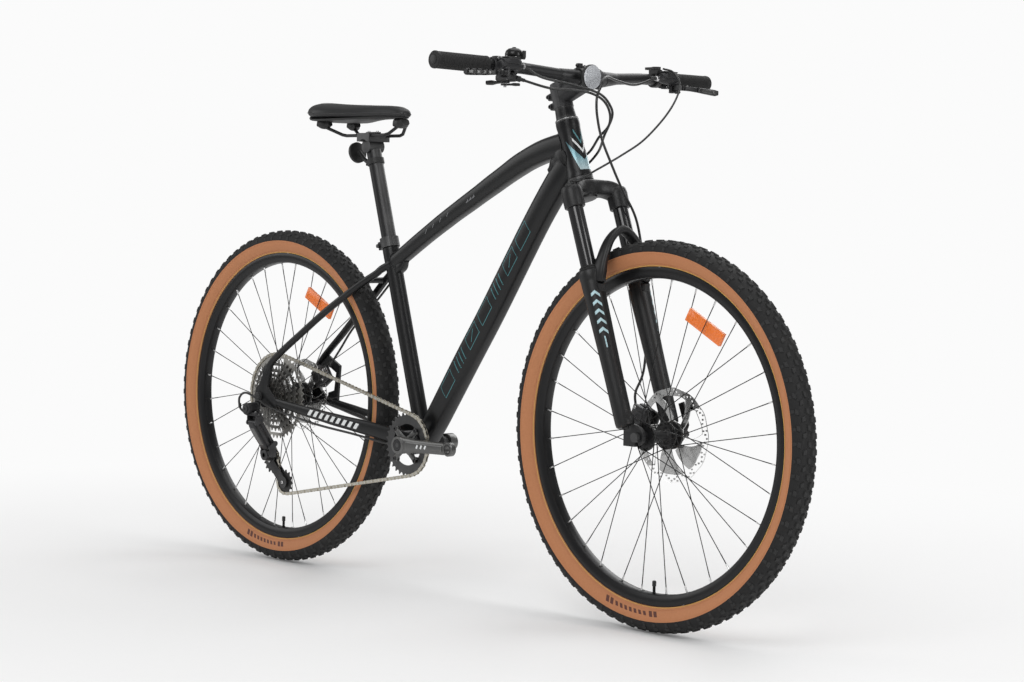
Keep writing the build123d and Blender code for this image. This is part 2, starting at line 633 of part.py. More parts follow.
# ---------------------------------------------------------------- rear derailleur
# Parallelogram pivots, all with axes along X
OUTER_TOP, OUTER_LOW = Vector(0, -92, 312), Vector(0, -52, 256)
LINK_OFFSET = Vector(0, 11.72, 8.37)
INNER_TOP, INNER_LOW = OUTER_TOP + LINK_OFFSET, OUTER_LOW + LINK_OFFSET
EAR_IN, EAR_OUT = 13.6, 17
WEB_X = (EAR_IN + EAR_OUT) / 2
PIN_R, PIN_BORE_R = 2.5, 2.56
CAGE_AXLE_R = 4.0


def ears(outer, inner, inner_pin_r):
    """Front and rear cheeks carrying one outer and one inner pivot pin."""
    middle = (outer + inner) * 0.5
    tilt = math.degrees(math.atan2(inner.Z - outer.Z, inner.Y - outer.Y))
    cheeks = []
    for x0, x1 in ((-EAR_OUT, -EAR_IN), (EAR_IN, EAR_OUT)):
        web = (Pos((x0 + x1) / 2, middle.Y, middle.Z) * Rot(tilt, 0, 0)
               * Box(x1 - x0, (inner - outer).length, 12))
        cheeks.append(rod_x(outer, x0, x1, 6) + rod_x(inner, x0, x1, 6) + web)
    return fuse(*cheeks) + rod_x(outer, -16, 16, PIN_R) + rod_x(inner, -16, 16, inner_pin_r)


def swing_link(top, low, half_width, low_bore_r):
    axis = low - top
    body = Plane(origin=(top + low) * 0.5, x_dir=(1, 0, 0),
                 z_dir=axis.cross(Vector(1, 0, 0))) * Box(2 * half_width, axis.length, 6.5)
    body = body + rod_x(top, -half_width, half_width, 4.4)
    body = body + rod_x(low, -half_width, half_width, 4.4)
    return body - rod_x(top, -20, 20, PIN_BORE_R) - rod_x(low, -20, 20, low_bore_r)


upper_knuckle = (rod_y(*HANGER_PIVOT, -104, -79.2, 13.0) + Pos(0, -89, 331) * Box(34, 18, 7.5)
                 + ears(OUTER_TOP, INNER_TOP, PIN_R))
for x in (-WEB_X, WEB_X):
    upper_knuckle = upper_knuckle + Pos(x, -88, 323) * Box(EAR_OUT - EAR_IN, 15, 20)
upper_knuckle = upper_knuckle + rod_y(*HANGER_PIVOT, -79.3, -75.3, 5.0)
upper_knuckle = upper_knuckle + rod_y(*HANGER_PIVOT, -106, -103, 7.5)
put("rd_b_knuckle", upper_knuckle)
put("rd_outer_link", swing_link(OUTER_TOP, OUTER_LOW, 13.0, PIN_BORE_R))
put("rd_inner_link", swing_link(INNER_TOP, INNER_LOW, 10.0, 3.0))

lower_knuckle = rod_y(*CAGE_PIVOT, -58, -36, 11.5) + ears(OUTER_LOW, INNER_LOW, 2.3)
for x in (-WEB_X, WEB_X):
    lower_knuckle = lower_knuckle + Pos(x, -47, 246) * Box(EAR_OUT - EAR_IN, 18, 22)
lower_knuckle = lower_knuckle + Pos(0, -47, 243.2) * Box(34, 20, 8)
put("rd_p_knuckle", lower_knuckle - rod_y(*CAGE_PIVOT, -50, -30, CAGE_AXLE_R + 0.05))


def cage_plate(y0, y1, pivot_boss):
    sketch = Pos(*guide) * Circle(13) + Pos(*tension) * Circle(13)
    line = Vector(tension[0] - guide[0], tension[1] - guide[1], 0)
    normal = Vector(-line.Y, line.X, 0).normalized()
    corners = [(guide[0] + side * normal.X * 11 + share * line.X,
                guide[1] + side * normal.Y * 11 + share * line.Y)
               for side, share in ((1, 0), (1, 1), (-1, 1), (-1, 0))]
    sketch = sketch + outline(*corners)
    if pivot_boss:
        middle = Pos((guide[0] + CAGE_PIVOT[0]) / 2, (guide[1] + CAGE_PIVOT[1]) / 2)
        sketch = sketch + Pos(*CAGE_PIVOT) * Circle(10) + middle * Circle(11)
    return plate_y(sketch, y0, y1)


outer_cage = cage_plate(-32.6, -30.8, True) + rod_y(*CAGE_PIVOT, -49.5, -32.6, CAGE_AXLE_R)
cage_pins = rod_y(*guide, -31, -21, PIN_R) + rod_y(*tension, -31, -21, PIN_R)
put("rd_cage", fuse(outer_cage, cage_pins, cage_plate(-21.4, -19.8, False)))
for name, centre, i in (("rd_guide_pulley", guide, 3), ("rd_tension_pulley", tension, 2)):
    put(name, sprocket(PULLEY_TEETH, *centre, BIG_COG_Y, gap_phase(i), PIN_BORE_R, tip=1.6))

# ---------------------------------------------------------------- fork
LOWERS_TOP = -316.7
LOWERS_BORE_R = STANCHION_R + 0.08
FORK_TAB = [(1096, 352), (1130, 352), (1147, 362), (1147, 380), (1134, 390), (1112, 396),
            (1096, 392)]        # dropout plate (x, z)
# Half of the arch, right leg to the middle: (up, ahead of the stanchions, y)
ARCH_HALF = [(-345, 14, -62), (-320, 27, -58), (-262, 42, -30), (-246, 46, 0)]
ARCH = ARCH_HALF + [(up, ahead, -y) for up, ahead, y in ARCH_HALF[-2::-1]]


def leg_rod(side, low, high, radius, end_radius=None):
    """Rod on the stanchion axis; side +1 is left."""
    y = side * STANCHION_Y
    return rod(on_steer(low, STANCHION_AHEAD, y), on_steer(high, STANCHION_AHEAD, y),
               radius, end_radius)


steerer = rod(on_steer(-150), on_steer(70), 14.3)
crown_plane = Plane(origin=on_steer(-146), x_dir=(0, 1, 0), z_dir=(-HEAD_COS, 0, HEAD_SIN))
crown = crown_plane * (Pos(0, -12, 0) * extrude(Rectangle(132, 36), amount=17, both=True))
crown = crown + rod(on_steer(-163), on_steer(-126.3), 25)
for side in (1, -1):
    crown = crown + leg_rod(side, -190, -150, 20)
for side in (1, -1):
    crown = crown - leg_rod(side, -195, -152, STANCHION_R + 0.02)
put("fork_crown", (crown + steerer) - rod(on_steer(-170), on_steer(66), 12.0))
for side in (1, -1):
    put("stanchions", leg_rod(side, -487, -152.2, STANCHION_R) - leg_rod(side, -490, -160, 12.5))


def fork_leg(side):
    leg = leg_rod(side, -624, LOWERS_TOP, 17.5, 18.6) + leg_rod(side, -330, LOWERS_TOP, 20)
    tab = plate_y(outline(*FORK_TAB), *sorted((side * HUB_F_W / 2, side * DROP_F_Y)))
    tab = tab - axle_slot(WHEELBASE, AXLE_F_R + SLOT_PLAY, 24, *sorted((side * 48, side * 60)))
    return leg + tab


def bore_lowers(lowers):
    for side in (1, -1):
        lowers = lowers - leg_rod(side, -600, -310, LOWERS_BORE_R)
    return lowers


lowers = fork_leg(1) + fork_leg(-1)
lowers = lowers + pipe([on_steer(up, STANCHION_AHEAD + ahead, y) for up, ahead, y in ARCH], 9.5)
lowers = bore_lowers(lowers)
lowers = lowers + polar_box(WHEELBASE, heading(FRONT_CALIPER_ANGLE), (-16, 46), (57, 64),
                            (60, 100))
put("fork_lowers", bore_lowers(lowers))     # bored again where the caliper lug crosses
for side in (1, -1):
    put("fork_lowers",      # collar on top of each leg
        leg_rod(side, -316.5, -311, 18.5) - leg_rod(side, -318, -309, LOWERS_BORE_R))

# ---------------------------------------------------------------- stem
STEM_DIR = (0.91, 0, 0.41)
BAR_CLAMP_HALF_W, BAR_CLAMP_R = 21, 20


def stem_point(ahead):
    """Point on the stem line, `ahead` of the bar centre."""
    return (BAR_X + STEM_DIR[0] * ahead, 0, BAR_Z + STEM_DIR[2] * ahead)


def beyond(ahead):
    """Block filling everything forward of a plane square to the stem."""
    plane = Plane(origin=stem_point(ahead), x_dir=(0, 1, 0), z_dir=STEM_DIR)
    return plane * Box(80, 80, 60, align=FROM_BASE)


clamp_barrel = rod_y(BAR_X, BAR_Z, -BAR_CLAMP_HALF_W, BAR_CLAMP_HALF_W, BAR_CLAMP_R)
bar_bore = rod_y(BAR_X, BAR_Z, -30, 30, BAR_R_MID + 0.02)
stem = rod(on_steer(27), on_steer(74), 19.5) + skin([
    (on_steer(50, 4), STEM_DIR, 34, 36), (stem_point(-8), STEM_DIR, 42, 36)])
stem = stem + clamp_barrel
stem = stem - rod(on_steer(20), on_steer(80), 14.35) - bar_bore
stem_back = stem - beyond(1.2)
faceplate = (clamp_barrel - bar_bore) & beyond(2.2)
put("stem", stem_back.solids().sort_by(SortBy.VOLUME)[-1], faceplate.solids()[0])
put("stem_hardware",
    rod(on_steer(2.8), on_steer(26.8), 20.5, 18.5) - rod(on_steer(2), on_steer(27), 14.35),
    rod(on_steer(74.2), on_steer(78), 17.5),
    *[rod(on_steer(up, -24, -12), on_steer(up, -24, 12), 4.2) for up in (58, 38)])

# ---------------------------------------------------------------- handlebar and grips
BAR_KNEE, BAR_TIP = (909, 160, 1056), (895, 370, 1059)
# Left half, tip to stem; straight from the tip to the knee
BAR_LEFT = [BAR_TIP, (902, 265, 1057.5), BAR_KNEE, (921, 80, 1050), (BAR_X, 34, BAR_Z)]
BAR_RIGHT = [(x, -y, z) for x, y, z in BAR_LEFT]

bar = pipe(BAR_RIGHT, BAR_R_END) + pipe(BAR_LEFT[::-1], BAR_R_END)
bar = bar + rod_y(BAR_X, BAR_Z, -34, 34, BAR_R_MID)
for side in (1, -1):
    bar = bar + rod((BAR_X, side * 33.5, BAR_Z), (921.5, side * 76.7, 1049.7),
                    BAR_R_MID - 0.3, BAR_R_END + 0.6)
put("handlebar", bar)

CLAMP_BORE_R = BAR_R_END + 0.5


def bar_at(y):
    """Bar centre at lateral place y, on the straight outer part."""
    share = (abs(y) - BAR_KNEE[1]) / (BAR_TIP[1] - BAR_KNEE[1])
    return Vector(BAR_KNEE[0] + (BAR_TIP[0] - BAR_KNEE[0]) * share, y,
                  BAR_KNEE[2] + (BAR_TIP[2] - BAR_KNEE[2]) * share)


def bar_rod(y0, y1, radius):
    return rod(bar_at(y0), bar_at(y1), radius)


def bar_clamp(y, width):
    return sleeve(bar_at, y - width / 2, y + width / 2, 15.5, CLAMP_BORE_R)


for side in (-1, 1):    # the bore stops short, which closes the outer end
    put("grips", bar_rod(side * 249, side * 374, 16.3) - bar_rod(side * 240, side * 370.6, 11.7))

# ---------------------------------------------------------------- brake levers
BRAKE_Y = 232


def brake_master(side, centre, pivot):
    """Bar clamp, cylinder ahead of the bar and a fork that holds the lever pivot."""
    body = bar_clamp(side * BRAKE_Y, 12)
    cylinder_start = centre + Vector(30, side * 4, -1)
    cylinder_end = centre + Vector(30, -side * 52, 0)
    body = body + rod(cylinder_start, cylinder_end, 8.5)
    body = body + rod(centre + Vector(13, 0, -3), cylinder_start, 7)
    for dz in (-8.2, 8.2):
        body = body + box_at(pivot + Vector(-6, 0, dz), 22, 14, 4)
    body = body + box_at(pivot + Vector(-14, 0, 0), 7, 14, 20)
    body = body - bar_rod(side * (BRAKE_Y - 12), side * (BRAKE_Y + 12), CLAMP_BORE_R)
    return body - rod_z(pivot, -15, 15, PIN_R)


def brake_blade(side, pivot):
    """Pivot boss and a two-part blade reaching outboard."""
    def section(point, axis, across, height):
        plane = Plane(origin=point, x_dir=Vector(1, 0, 0), z_dir=axis)
        return (plane * RectangleRounded(across, height, 3)).faces()[0]

    bore = rod_z(pivot, -7, 7, PIN_BORE_R)
    boss = rod_z(pivot, -5.8, 5.8, 6) - bore
    root = pivot + Vector(2, side * 4, 0)
    bend = pivot + Vector(12, side * 44, -2)
    tip = pivot + Vector(4, side * 112, -4)
    near, far = bend - root, tip - bend
    near_part = loft([section(root, near, 8, 8.5), section(bend, near, 8, 8.5)], ruled=True)
    far_part = loft([section(bend - far * 0.04, far, 8, 9), section(tip, far, 8, 13)],
                    ruled=True)
    return (boss + near_part + far_part) - bore


for side, name in ((-1, "right_brake_lever"), (1, "left_brake_lever")):
    centre = bar_at(side * BRAKE_Y)
    pivot = centre + Vector(40, side * 2, -16)
    put("brake_masters", brake_master(side, centre, pivot), rod_z(pivot, -11, 11, 2.48))
    put(name, brake_blade(side, pivot))

# ---------------------------------------------------------------- shifter, right side
SHIFTER_Y = -212
shifter = bar_at(SHIFTER_Y)
shift_pivot = shifter + Vector(10, 0, -24)
SHIFT_BORE_R = 3.06
pod = bar_clamp(SHIFTER_Y, 10) + Pos(shifter.X + 8, -206, shifter.Z - 22) * Box(34, 34, 12)
pod = pod + box_at(shifter + Vector(2, 0, -14), 12, 10, 10)
pod = pod - bar_rod(-200, -224, CLAMP_BORE_R)
put("shifter_body", pod + rod_z(shift_pivot, -16, 0, 3.0))
paddle = shift_pivot + Vector(-20, -6, -6.5)
shift_lever = rod_z(shift_pivot, -8, -5, 9)
shift_lever = shift_lever + Pos(*paddle) * Rot(0, 0, 20) * Box(34, 12, 3)
put("shift_lever", shift_lever - rod_z(shift_pivot, -12, 0, SHIFT_BORE_R))
paddle = shift_pivot + Vector(17, 4, -11)
release_lever = rod_z(shift_pivot, -12.5, -9.5, 8)
release_lever = release_lever + Pos(*paddle) * Rot(0, 0, 14) * Box(26, 9, 3)
put("release_lever", release_lever - rod_z(shift_pivot, -16, 0, SHIFT_BORE_R))

# ---------------------------------------------------------------- fork lockout, left side
LOCKOUT_Y = 208
lockout = bar_at(LOCKOUT_Y)
lockout_pivot = lockout + Vector(4, 0, 22)
remote = bar_clamp(LOCKOUT_Y, 12) + box_at(lockout + Vector(2, 0, 16), 24, 14, 8)
remote = remote + rod_z(lockout_pivot, -4, 4, PIN_R)
put("lockout_remote", remote - bar_rod(195, 222, CLAMP_BORE_R))
lockout_lever = rod_z(lockout_pivot, -1.6, 4, 9)
lockout_lever = lockout_lever + box_at(lockout_pivot + Vector(-14, 0, 1.2), 24, 11, 5)
put("lockout_lever", lockout_lever - rod_z(lockout_pivot, -8, 8, PIN_BORE_R))

# ---------------------------------------------------------------- bell, right side
BELL_Y = -186
DOME = [(0, 14), (8, 13), (14, 9), (16.5, 3), (16.5, 0), (15, 0), (15, 3), (12.8, 8),
        (7.4, 11.6), (0, 12.4)]     # (radius, height)
bell = bar_at(BELL_Y) + Vector(4, 0, 18)
dome_face = make_face(Polyline(*DOME, close=True).edges())
dome = Pos(bell.X, bell.Y, bell.Z + 3) * revolve(Plane.XZ * dome_face, Axis.Z, 360)
post = rod_z(bell, -6, 15.3, 2.5)
base = bar_clamp(BELL_Y, 10) + rod_z(bell, -4, 0, 12)
base = (base + post - bar_rod(-178, -194, CLAMP_BORE_R)).solids()[0]
put("bell", base + dome)
striker = bell + Vector(18, 6, -1)
put("bell_striker", rod(striker + Vector(0, -4, 0), striker + Vector(0, 4, 0), 3)
    + box_at(striker + Vector(3, 0, 7), 3, 7, 13))

# Front reflector: disc, bar clamp just right of the stem and the stub between them
put("front_reflector",
    rod((957.5, -28, 1046), (965.5, -28, 1044), 24),
    rod_y(BAR_X, BAR_Z, -33, -23, 20.5) - rod_y(BAR_X, BAR_Z, -36, -20, 16.0),
    rod((949.2, -28, 1046), (957.3, -28, 1046), 4))

# ---------------------------------------------------------------- seat
POST_HEAD_R = 14.5
RAIL_Y, RAIL_R = 22.0, 3.5
head_x, _, head_z = on_seat(649)
rail_z = head_z + 23.0
# Straight rail ends, then how each end bends away: (distance past the end, y, rise)
RAIL_HALF_L = 62
RAIL_REAR = [(55, 41, 20), (45, 38, 16), (12, 24, 2), (0, RAIL_Y, 0)]
RAIL_FRONT = [(0, RAIL_Y, 0), (12, 19.5, 3), (28, 12, 16), (33, 9, 21)]
# Saddle sections, rear to nose: (x, width, height, centre z)
SADDLE = [(113, 84, 24, 1001), (135, 128, 34, 999), (165, 140, 37, 998), (200, 132, 37, 997),
          (240, 100, 36, 996), (280, 66, 32, 996), (330, 46, 29, 995), (372, 38, 25, 993),
          (393, 24, 16, 990)]

post_tube = rod(on_seat(300), on_seat(640), POST_R) - rod(on_seat(295), on_seat(630), 13.6)
put("seatpost", post_tube + rod_y(head_x, head_z, -20, 20, POST_HEAD_R))

cradle = Pos(head_x, 0, rail_z - 4) * Box(40, 58, 18)
cradle = cradle - rod_y(head_x, head_z, -40, 40, POST_HEAD_R + 0.4)
for y in (-RAIL_Y, RAIL_Y):
    cradle = cradle - rod((head_x - 40, y, rail_z), (head_x + 40, y, rail_z), RAIL_R + 0.05)
top_strip = Pos(head_x, 0, rail_z + 5.1) * Box(36, 12, 3, align=FROM_BASE)
put("saddle_clamp", cradle, top_strip)

for side in (-1, 1):
    rail = [(head_x - RAIL_HALF_L - past, side * y, rail_z + up) for past, y, up in RAIL_REAR]
    rail += [(head_x + RAIL_HALF_L + past, side * y, rail_z + up) for past, y, up in RAIL_FRONT]
    put("saddle_rails", pipe(rail, RAIL_R))

put("saddle", loft([(Plane(origin=(x, 0, z), x_dir=(0, 1, 0), z_dir=(1, 0, 0))
                     * RectangleRounded(width, height, height * 0.42)).faces()[0]
                    for x, width, height, z in SADDLE]))

# Rear reflector: disc, seatpost clamp and the stub between them
put("rear_reflector",
    rod((226, 0, 908), (234, 0, 910), 22.5),
    sleeve(on_seat, 609, 621, 19.5, POST_BORE_R),
    rod((234.3, 0, 910), on_seat(615, -19.4), 4))

# ---------------------------------------------------------------- hoses and cables
# Paths (x, y, z)
REAR_CABLES = [
    # right bar end to the left of the down tube
    [(934.2, -178, 1057), (946, -120, 1050), (958, -60, 1028), (972, 0, 1000), (960, 44, 955),
     (915, 58, 915), (866, 44, 889), (846, 25.5, 872)],
    # shifter to the left of the down tube
    [(shifter.X + 26, -188, shifter.Z - 24), (950, -140, 1022), (972, -60, 1006),
     (985, 10, 980), (972, 60, 930), (925, 70, 890), (872, 50, 868), (836, 25.5, 850)],
    # right chain stay round to the derailleur
    [(100, -75.5, 337), (40, -84, 352), (-20, -93, 376), (-44, -96, 366), (-46, -94, 344),
     (-36, -91, 334), (-30, -90, 331)],
    # left seat stay down to the rear caliper
    [(330, 26, 640), (240, 52, 586), (150, 66, 526), (104, 70, 480), (88, 62, 452),
     (82, 56, 436)]]
FRONT_BRAKE_HOSE = [
    (934.2, 178, 1057), (950, 120, 1040), (975, 60, 1034), (1002, 16, 1000), (1002, 36, 930),
    (985, 82, 870), (990, 94, 760), (1012, 92, 600), (1022, 74, 490), (1020, 54, 444),
    (1029, 45, 420)]
LOCKOUT_CABLE = [(932, 204, 1078), (975, 210, 1030), (1000, 190, 960), (990, 130, 900),
                 (950, 60, 866), (930, 84, 868)]
put("rear_cables", *[pipe(path, 2.5) for path in REAR_CABLES])
put("front_cables", pipe(FRONT_BRAKE_HOSE, 2.5), pipe(LOCKOUT_CABLE, 2.0))

# ---------------------------------------------------------------- export
os.makedirs("parts", exist_ok=True)
TO_ORIGIN = Pos(-WHEELBASE / 2, 0, 0)
for name, shapes in nodes.items():
    solids = []
    for shape in shapes:
        solids.extend((TO_ORIGIN * shape).solids())
    export_step(Compound(children=solids), "parts/" + name + ".step")
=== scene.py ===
"""Hardtail mountain bike: dark frame, tan sidewalls, disc brakes and a single chainring.

Sizes are millimetres in the CAD frame: x runs forward from the rear axle, y to the rider's
left (the chain is on -y) and z up from the ground. place() turns them into Blender metres,
with the bike centred along x. Angles named *_ANGLE are degrees.
"""
import bpy
import bmesh
from math import copysign, cos, exp, hypot, pi, radians, sin, sqrt
from typing import NamedTuple
from mathutils import Matrix, Vector
from mathutils.bvhtree import BVHTree

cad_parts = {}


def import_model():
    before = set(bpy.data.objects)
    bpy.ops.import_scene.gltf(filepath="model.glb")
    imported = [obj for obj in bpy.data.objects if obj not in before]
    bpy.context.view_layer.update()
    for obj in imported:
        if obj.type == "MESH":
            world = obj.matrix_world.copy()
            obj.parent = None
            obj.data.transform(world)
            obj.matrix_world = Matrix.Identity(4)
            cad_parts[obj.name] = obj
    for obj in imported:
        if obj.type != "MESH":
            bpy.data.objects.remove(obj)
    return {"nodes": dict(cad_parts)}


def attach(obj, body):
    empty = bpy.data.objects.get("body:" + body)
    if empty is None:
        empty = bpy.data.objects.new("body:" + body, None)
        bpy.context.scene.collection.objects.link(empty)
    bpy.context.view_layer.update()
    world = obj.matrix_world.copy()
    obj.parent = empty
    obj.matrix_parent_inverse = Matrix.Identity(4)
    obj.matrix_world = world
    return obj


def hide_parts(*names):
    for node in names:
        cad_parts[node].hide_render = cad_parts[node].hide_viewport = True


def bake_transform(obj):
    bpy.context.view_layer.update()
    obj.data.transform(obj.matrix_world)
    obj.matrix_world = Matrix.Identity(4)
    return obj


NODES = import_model()["nodes"]
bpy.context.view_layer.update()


# ------------------------------------------------------------------ driving places
def vec(x, y, z):
    return Vector((x, y, z))


X, Y, Z = vec(1, 0, 0), vec(0, 1, 0), vec(0, 0, 1)
X_SHIFT = -565.5                    # centres the bike on x = 0
AXLE_Z = 370
BRACKET = vec(472, 0, 301)          # centre of the bottom bracket
HEAD_X, HEAD_Z = 869.5, 965         # zero point on the steering axis
STEER_COS, STEER_SIN = cos(radians(70.4)), sin(radians(70.4))
SEAT_COS, SEAT_SIN = cos(radians(73.05)), sin(radians(73.05))
LEG_AHEAD, LEG_Y = 28, 62           # fork legs from the steering axis
SIDE_NAME = {1: "l", -1: "r"}


def place(x, y, z):
    return vec((x + X_SHIFT) / 1000.0, y / 1000.0, z / 1000.0)


def steer(up, ahead=0.0, y=0.0):
    """Point measured along the steering axis and square to it."""
    return vec(HEAD_X - STEER_COS * up + STEER_SIN * ahead, y,
               HEAD_Z + STEER_SIN * up + STEER_COS * ahead)


def seat(up, ahead=0.0, y=0.0):
    """Point measured from the bottom bracket along the seat tube and square to it."""
    return vec(472 - SEAT_COS * up + SEAT_SIN * ahead, y,
               301 + SEAT_SIN * up + SEAT_COS * ahead)


def leg(up, side):
    return steer(up, LEG_AHEAD, LEG_Y * side)


def bar_at(y):
    """Centre of the handlebar at a distance y from the middle."""
    out = (abs(y) - 160) / 210
    return vec(909 - 14 * out, y, 1056 + 3 * out)


STEER_UP = steer(1) - steer(0)
STEER_AHEAD = steer(0, 1) - steer(0, 0)
SEAT_UP = seat(1) - seat(0)
SHIFTER = bar_at(-212)


class Wheel(NamedTuple):
    name: str
    x: float
    left_flange: float       # y of the left spoke flange
    right_flange: float
    flange_radius: float
    rotor_y: float
    rotor_radius: float

    @property
    def hub(self):
        return vec(self.x, 0, AXLE_Z)

    @property
    def body(self):
        return self.name + "_wheel"


FRONT = Wheel("front", 1131.0, 22.0, -35.0, 22.5, 41.0, 90.0)
REAR = Wheel("rear", 0.0, 33.5, -20.5, 23.0, 52.0, 80.0)

# ------------------------------------------------------------------ materials
MATERIALS = {}


def rgba(colour):
    """A single number stands for a grey."""
    return (*colour, 1) if isinstance(colour, tuple) else (colour, colour, colour, 1)


def set_inputs(tree, node, inputs):
    """Give each input its value, or link it where the value is a socket."""
    for key, value in inputs.items():
        if isinstance(value, bpy.types.NodeSocket):
            tree.links.new(value, node.inputs[key])
        else:
            node.inputs[key].default_value = value


def add_node(tree, kind, inputs=None, **settings):
    node = tree.nodes.new("ShaderNode" + kind)
    for key, value in settings.items():
        setattr(node, key, value)
    set_inputs(tree, node, inputs or {})
    return node


def mix_colours(tree, factor, first, second):
    node = add_node(tree, "Mix", data_type="RGBA")
    set_inputs(tree, node, {"Factor": factor, "A": first, "B": second})
    return node.outputs["Result"]


def new_material(name):
    mat = MATERIALS[name] = bpy.data.materials.new(name)
    mat.use_nodes = True
    return mat, mat.node_tree, mat.node_tree.nodes["Principled BSDF"]


def surface(name, dark, light, rough, rough_vary=0.08, metal=0.0, bump=0.05,
            bump_depth=0.0002, scale=400.0, grain=0.0, stretch=(1, 1, 1), wear=0.0,
            wear_colour=0.5, dust=0.0, coat=0.0, spec=0.5, bevel=0.0):
    """Mottled colour, uneven gloss, fine relief and lighter worn edges.

    scale sets the fine noise and stretch its proportions; grain above 0 takes the relief
    from Voronoi cells of that scale. bevel rounds edges in the shading, in metres.
    """
    mat, tree, bsdf = new_material(name)
    coords = add_node(tree, "TexCoord").outputs["Object"]
    mapping = add_node(tree, "Mapping", {"Scale": stretch, "Vector": coords})
    fine = add_node(tree, "TexNoise", {"Vector": mapping.outputs[0], "Scale": scale,
                                       "Detail": 6.0, "Roughness": 0.6}).outputs["Fac"]
    broad = add_node(tree, "TexNoise", {"Vector": coords, "Scale": 14.0,
                                        "Detail": 4.0}).outputs["Fac"]
    colour = mix_colours(tree, fine, rgba(dark), rgba(light))
    if dust:
        amount = add_node(tree, "MapRange", {"Value": broad, "From Min": 0.5,
                                             "From Max": 0.75, "To Max": dust})
        colour = mix_colours(tree, amount.outputs[0], colour, (0.28, 0.26, 0.23, 1))
    if wear:
        point = add_node(tree, "NewGeometry").outputs["Pointiness"]
        edges = add_node(tree, "MapRange", {"Value": point, "From Min": 0.53,
                                            "From Max": 0.62})
        patchy = add_node(tree, "Math", {0: edges.outputs[0], 1: broad},
                          operation="MULTIPLY")
        amount = add_node(tree, "Math", {0: patchy.outputs[0], 1: wear * 1.8},
                          operation="MULTIPLY")
        colour = mix_colours(tree, amount.outputs[0], colour, rgba(wear_colour))
    gloss = add_node(tree, "MapRange", {"Value": broad,
                                        "To Min": max(0.02, rough - rough_vary),
                                        "To Max": min(1, rough + rough_vary)})
    relief = add_node(tree, "Bump", {"Strength": bump, "Distance": bump_depth})
    height = fine
    if grain:
        height = add_node(tree, "TexVoronoi",
                          {"Vector": coords, "Scale": grain}).outputs["Distance"]
    set_inputs(tree, relief, {"Height": height})
    if bevel:
        rounded = add_node(tree, "Bevel", {"Radius": bevel}, samples=3)
        set_inputs(tree, relief, {"Normal": rounded.outputs[0]})
    set_inputs(tree, bsdf, {
        "Base Color": colour, "Roughness": gloss.outputs[0], "Metallic": metal,
        "Specular IOR Level": spec, "Coat Weight": coat, "Coat Roughness": 0.12,
        "Normal": relief.outputs[0]})
    mat["bsdf"] = 1                 # custom property stored with the material
    return mat


def lens(name, colour, cell_scale, transmission=0.0, painted_glow=0.0):
    """Moulded prism face: a regular cell pattern under a clear coat. A glow strength above 0
    paints light coming off the lens in its own colour, though it is no lamp.
    """
    _, tree, bsdf = new_material(name)
    coords = add_node(tree, "TexCoord").outputs["Object"]
    cells = add_node(tree, "TexVoronoi", {"Vector": coords, "Scale": cell_scale,
                                          "Randomness": 0.0}).outputs["Distance"]
    relief = add_node(tree, "Bump", {"Height": cells, "Strength": 0.9, "Distance": 0.0012})
    light = tuple(min(1, c * 1.35 + 0.03) for c in colour)
    set_inputs(tree, bsdf, {
        "Normal": relief.outputs[0], "Roughness": 0.12, "Coat Weight": 0.8,
        "Base Color": mix_colours(tree, cells, rgba(colour), rgba(light)),
        "Coat Roughness": 0.03, "Transmission Weight": transmission})
    # painted glow: the lens gives off light of its own colour
    if painted_glow:
        set_inputs(tree, bsdf, {"Emission Color": rgba(colour),
                                "Emission Strength": painted_glow})


# painted and black parts
surface("frame_paint", (0.0045, 0.0047, 0.0052), (0.0075, 0.0078, 0.0086), rough=0.33,
        rough_vary=0.05, bump=0.04, scale=900, wear=0.12, wear_colour=(0.04, 0.04, 0.045),
        spec=0.4, bevel=0.0012)
surface("fork_paint", (0.0045, 0.0045, 0.005), (0.0075, 0.0075, 0.008), rough=0.42,
        rough_vary=0.05, bump=0.08, scale=900, wear=0.12, wear_colour=(0.05, 0.05, 0.055),
        bevel=0.0012)
surface("stanchion_gloss", (0.006, 0.006, 0.007), (0.010, 0.010, 0.011), rough=0.10,
        rough_vary=0.04, bump=0.01, scale=1200, coat=0.6)
surface("black_anodised", (0.014, 0.014, 0.015), (0.024, 0.024, 0.025), rough=0.38,
        metal=0.35, bump=0.06, scale=1200, wear=0.3, wear_colour=0.22, bevel=0.0006)
surface("black_cast", (0.012, 0.012, 0.013), (0.026, 0.026, 0.028), rough=0.48, metal=0.25,
        bump=0.18, scale=900, wear=0.35, wear_colour=(0.16, 0.16, 0.165), bevel=0.0008)
surface("black_moulded", 0.010, 0.02, rough=0.5, bump=0.2, scale=1400, wear=0.1,
        wear_colour=0.08, bevel=0.0006)
# bare metal
surface("machined_alloy", 0.50, 0.66, rough=0.28, metal=1.0, bump=0.06, scale=700,
        stretch=(1, 1, 6), wear=0.2, wear_colour=0.9, bevel=0.0005)
surface("steel", (0.40, 0.39, 0.37), (0.58, 0.57, 0.55), rough=0.32, metal=1.0, bump=0.08,
        scale=900, dust=0.05, bevel=0.0003)
surface("cassette_steel", 0.018, (0.036, 0.036, 0.035), rough=0.4, metal=0.6, bump=0.08,
        scale=900, wear=0.7, wear_colour=(0.35, 0.34, 0.32), bevel=0.0003)
surface("largest_cog_steel", (0.34, 0.33, 0.31), (0.48, 0.47, 0.44), rough=0.36,
        metal=0.95, bump=0.08, scale=900, bevel=0.0003)
surface("chain_steel", (0.46, 0.43, 0.36), (0.62, 0.59, 0.51), rough=0.3, metal=1.0,
        bump=0.1, scale=1200, dust=0.12, bevel=0.0003)
surface("rotor_steel", 0.52, (0.70, 0.70, 0.69), rough=0.25, metal=1.0, bump=0.12,
        scale=260, stretch=(1, 6, 1), bevel=0.0002)
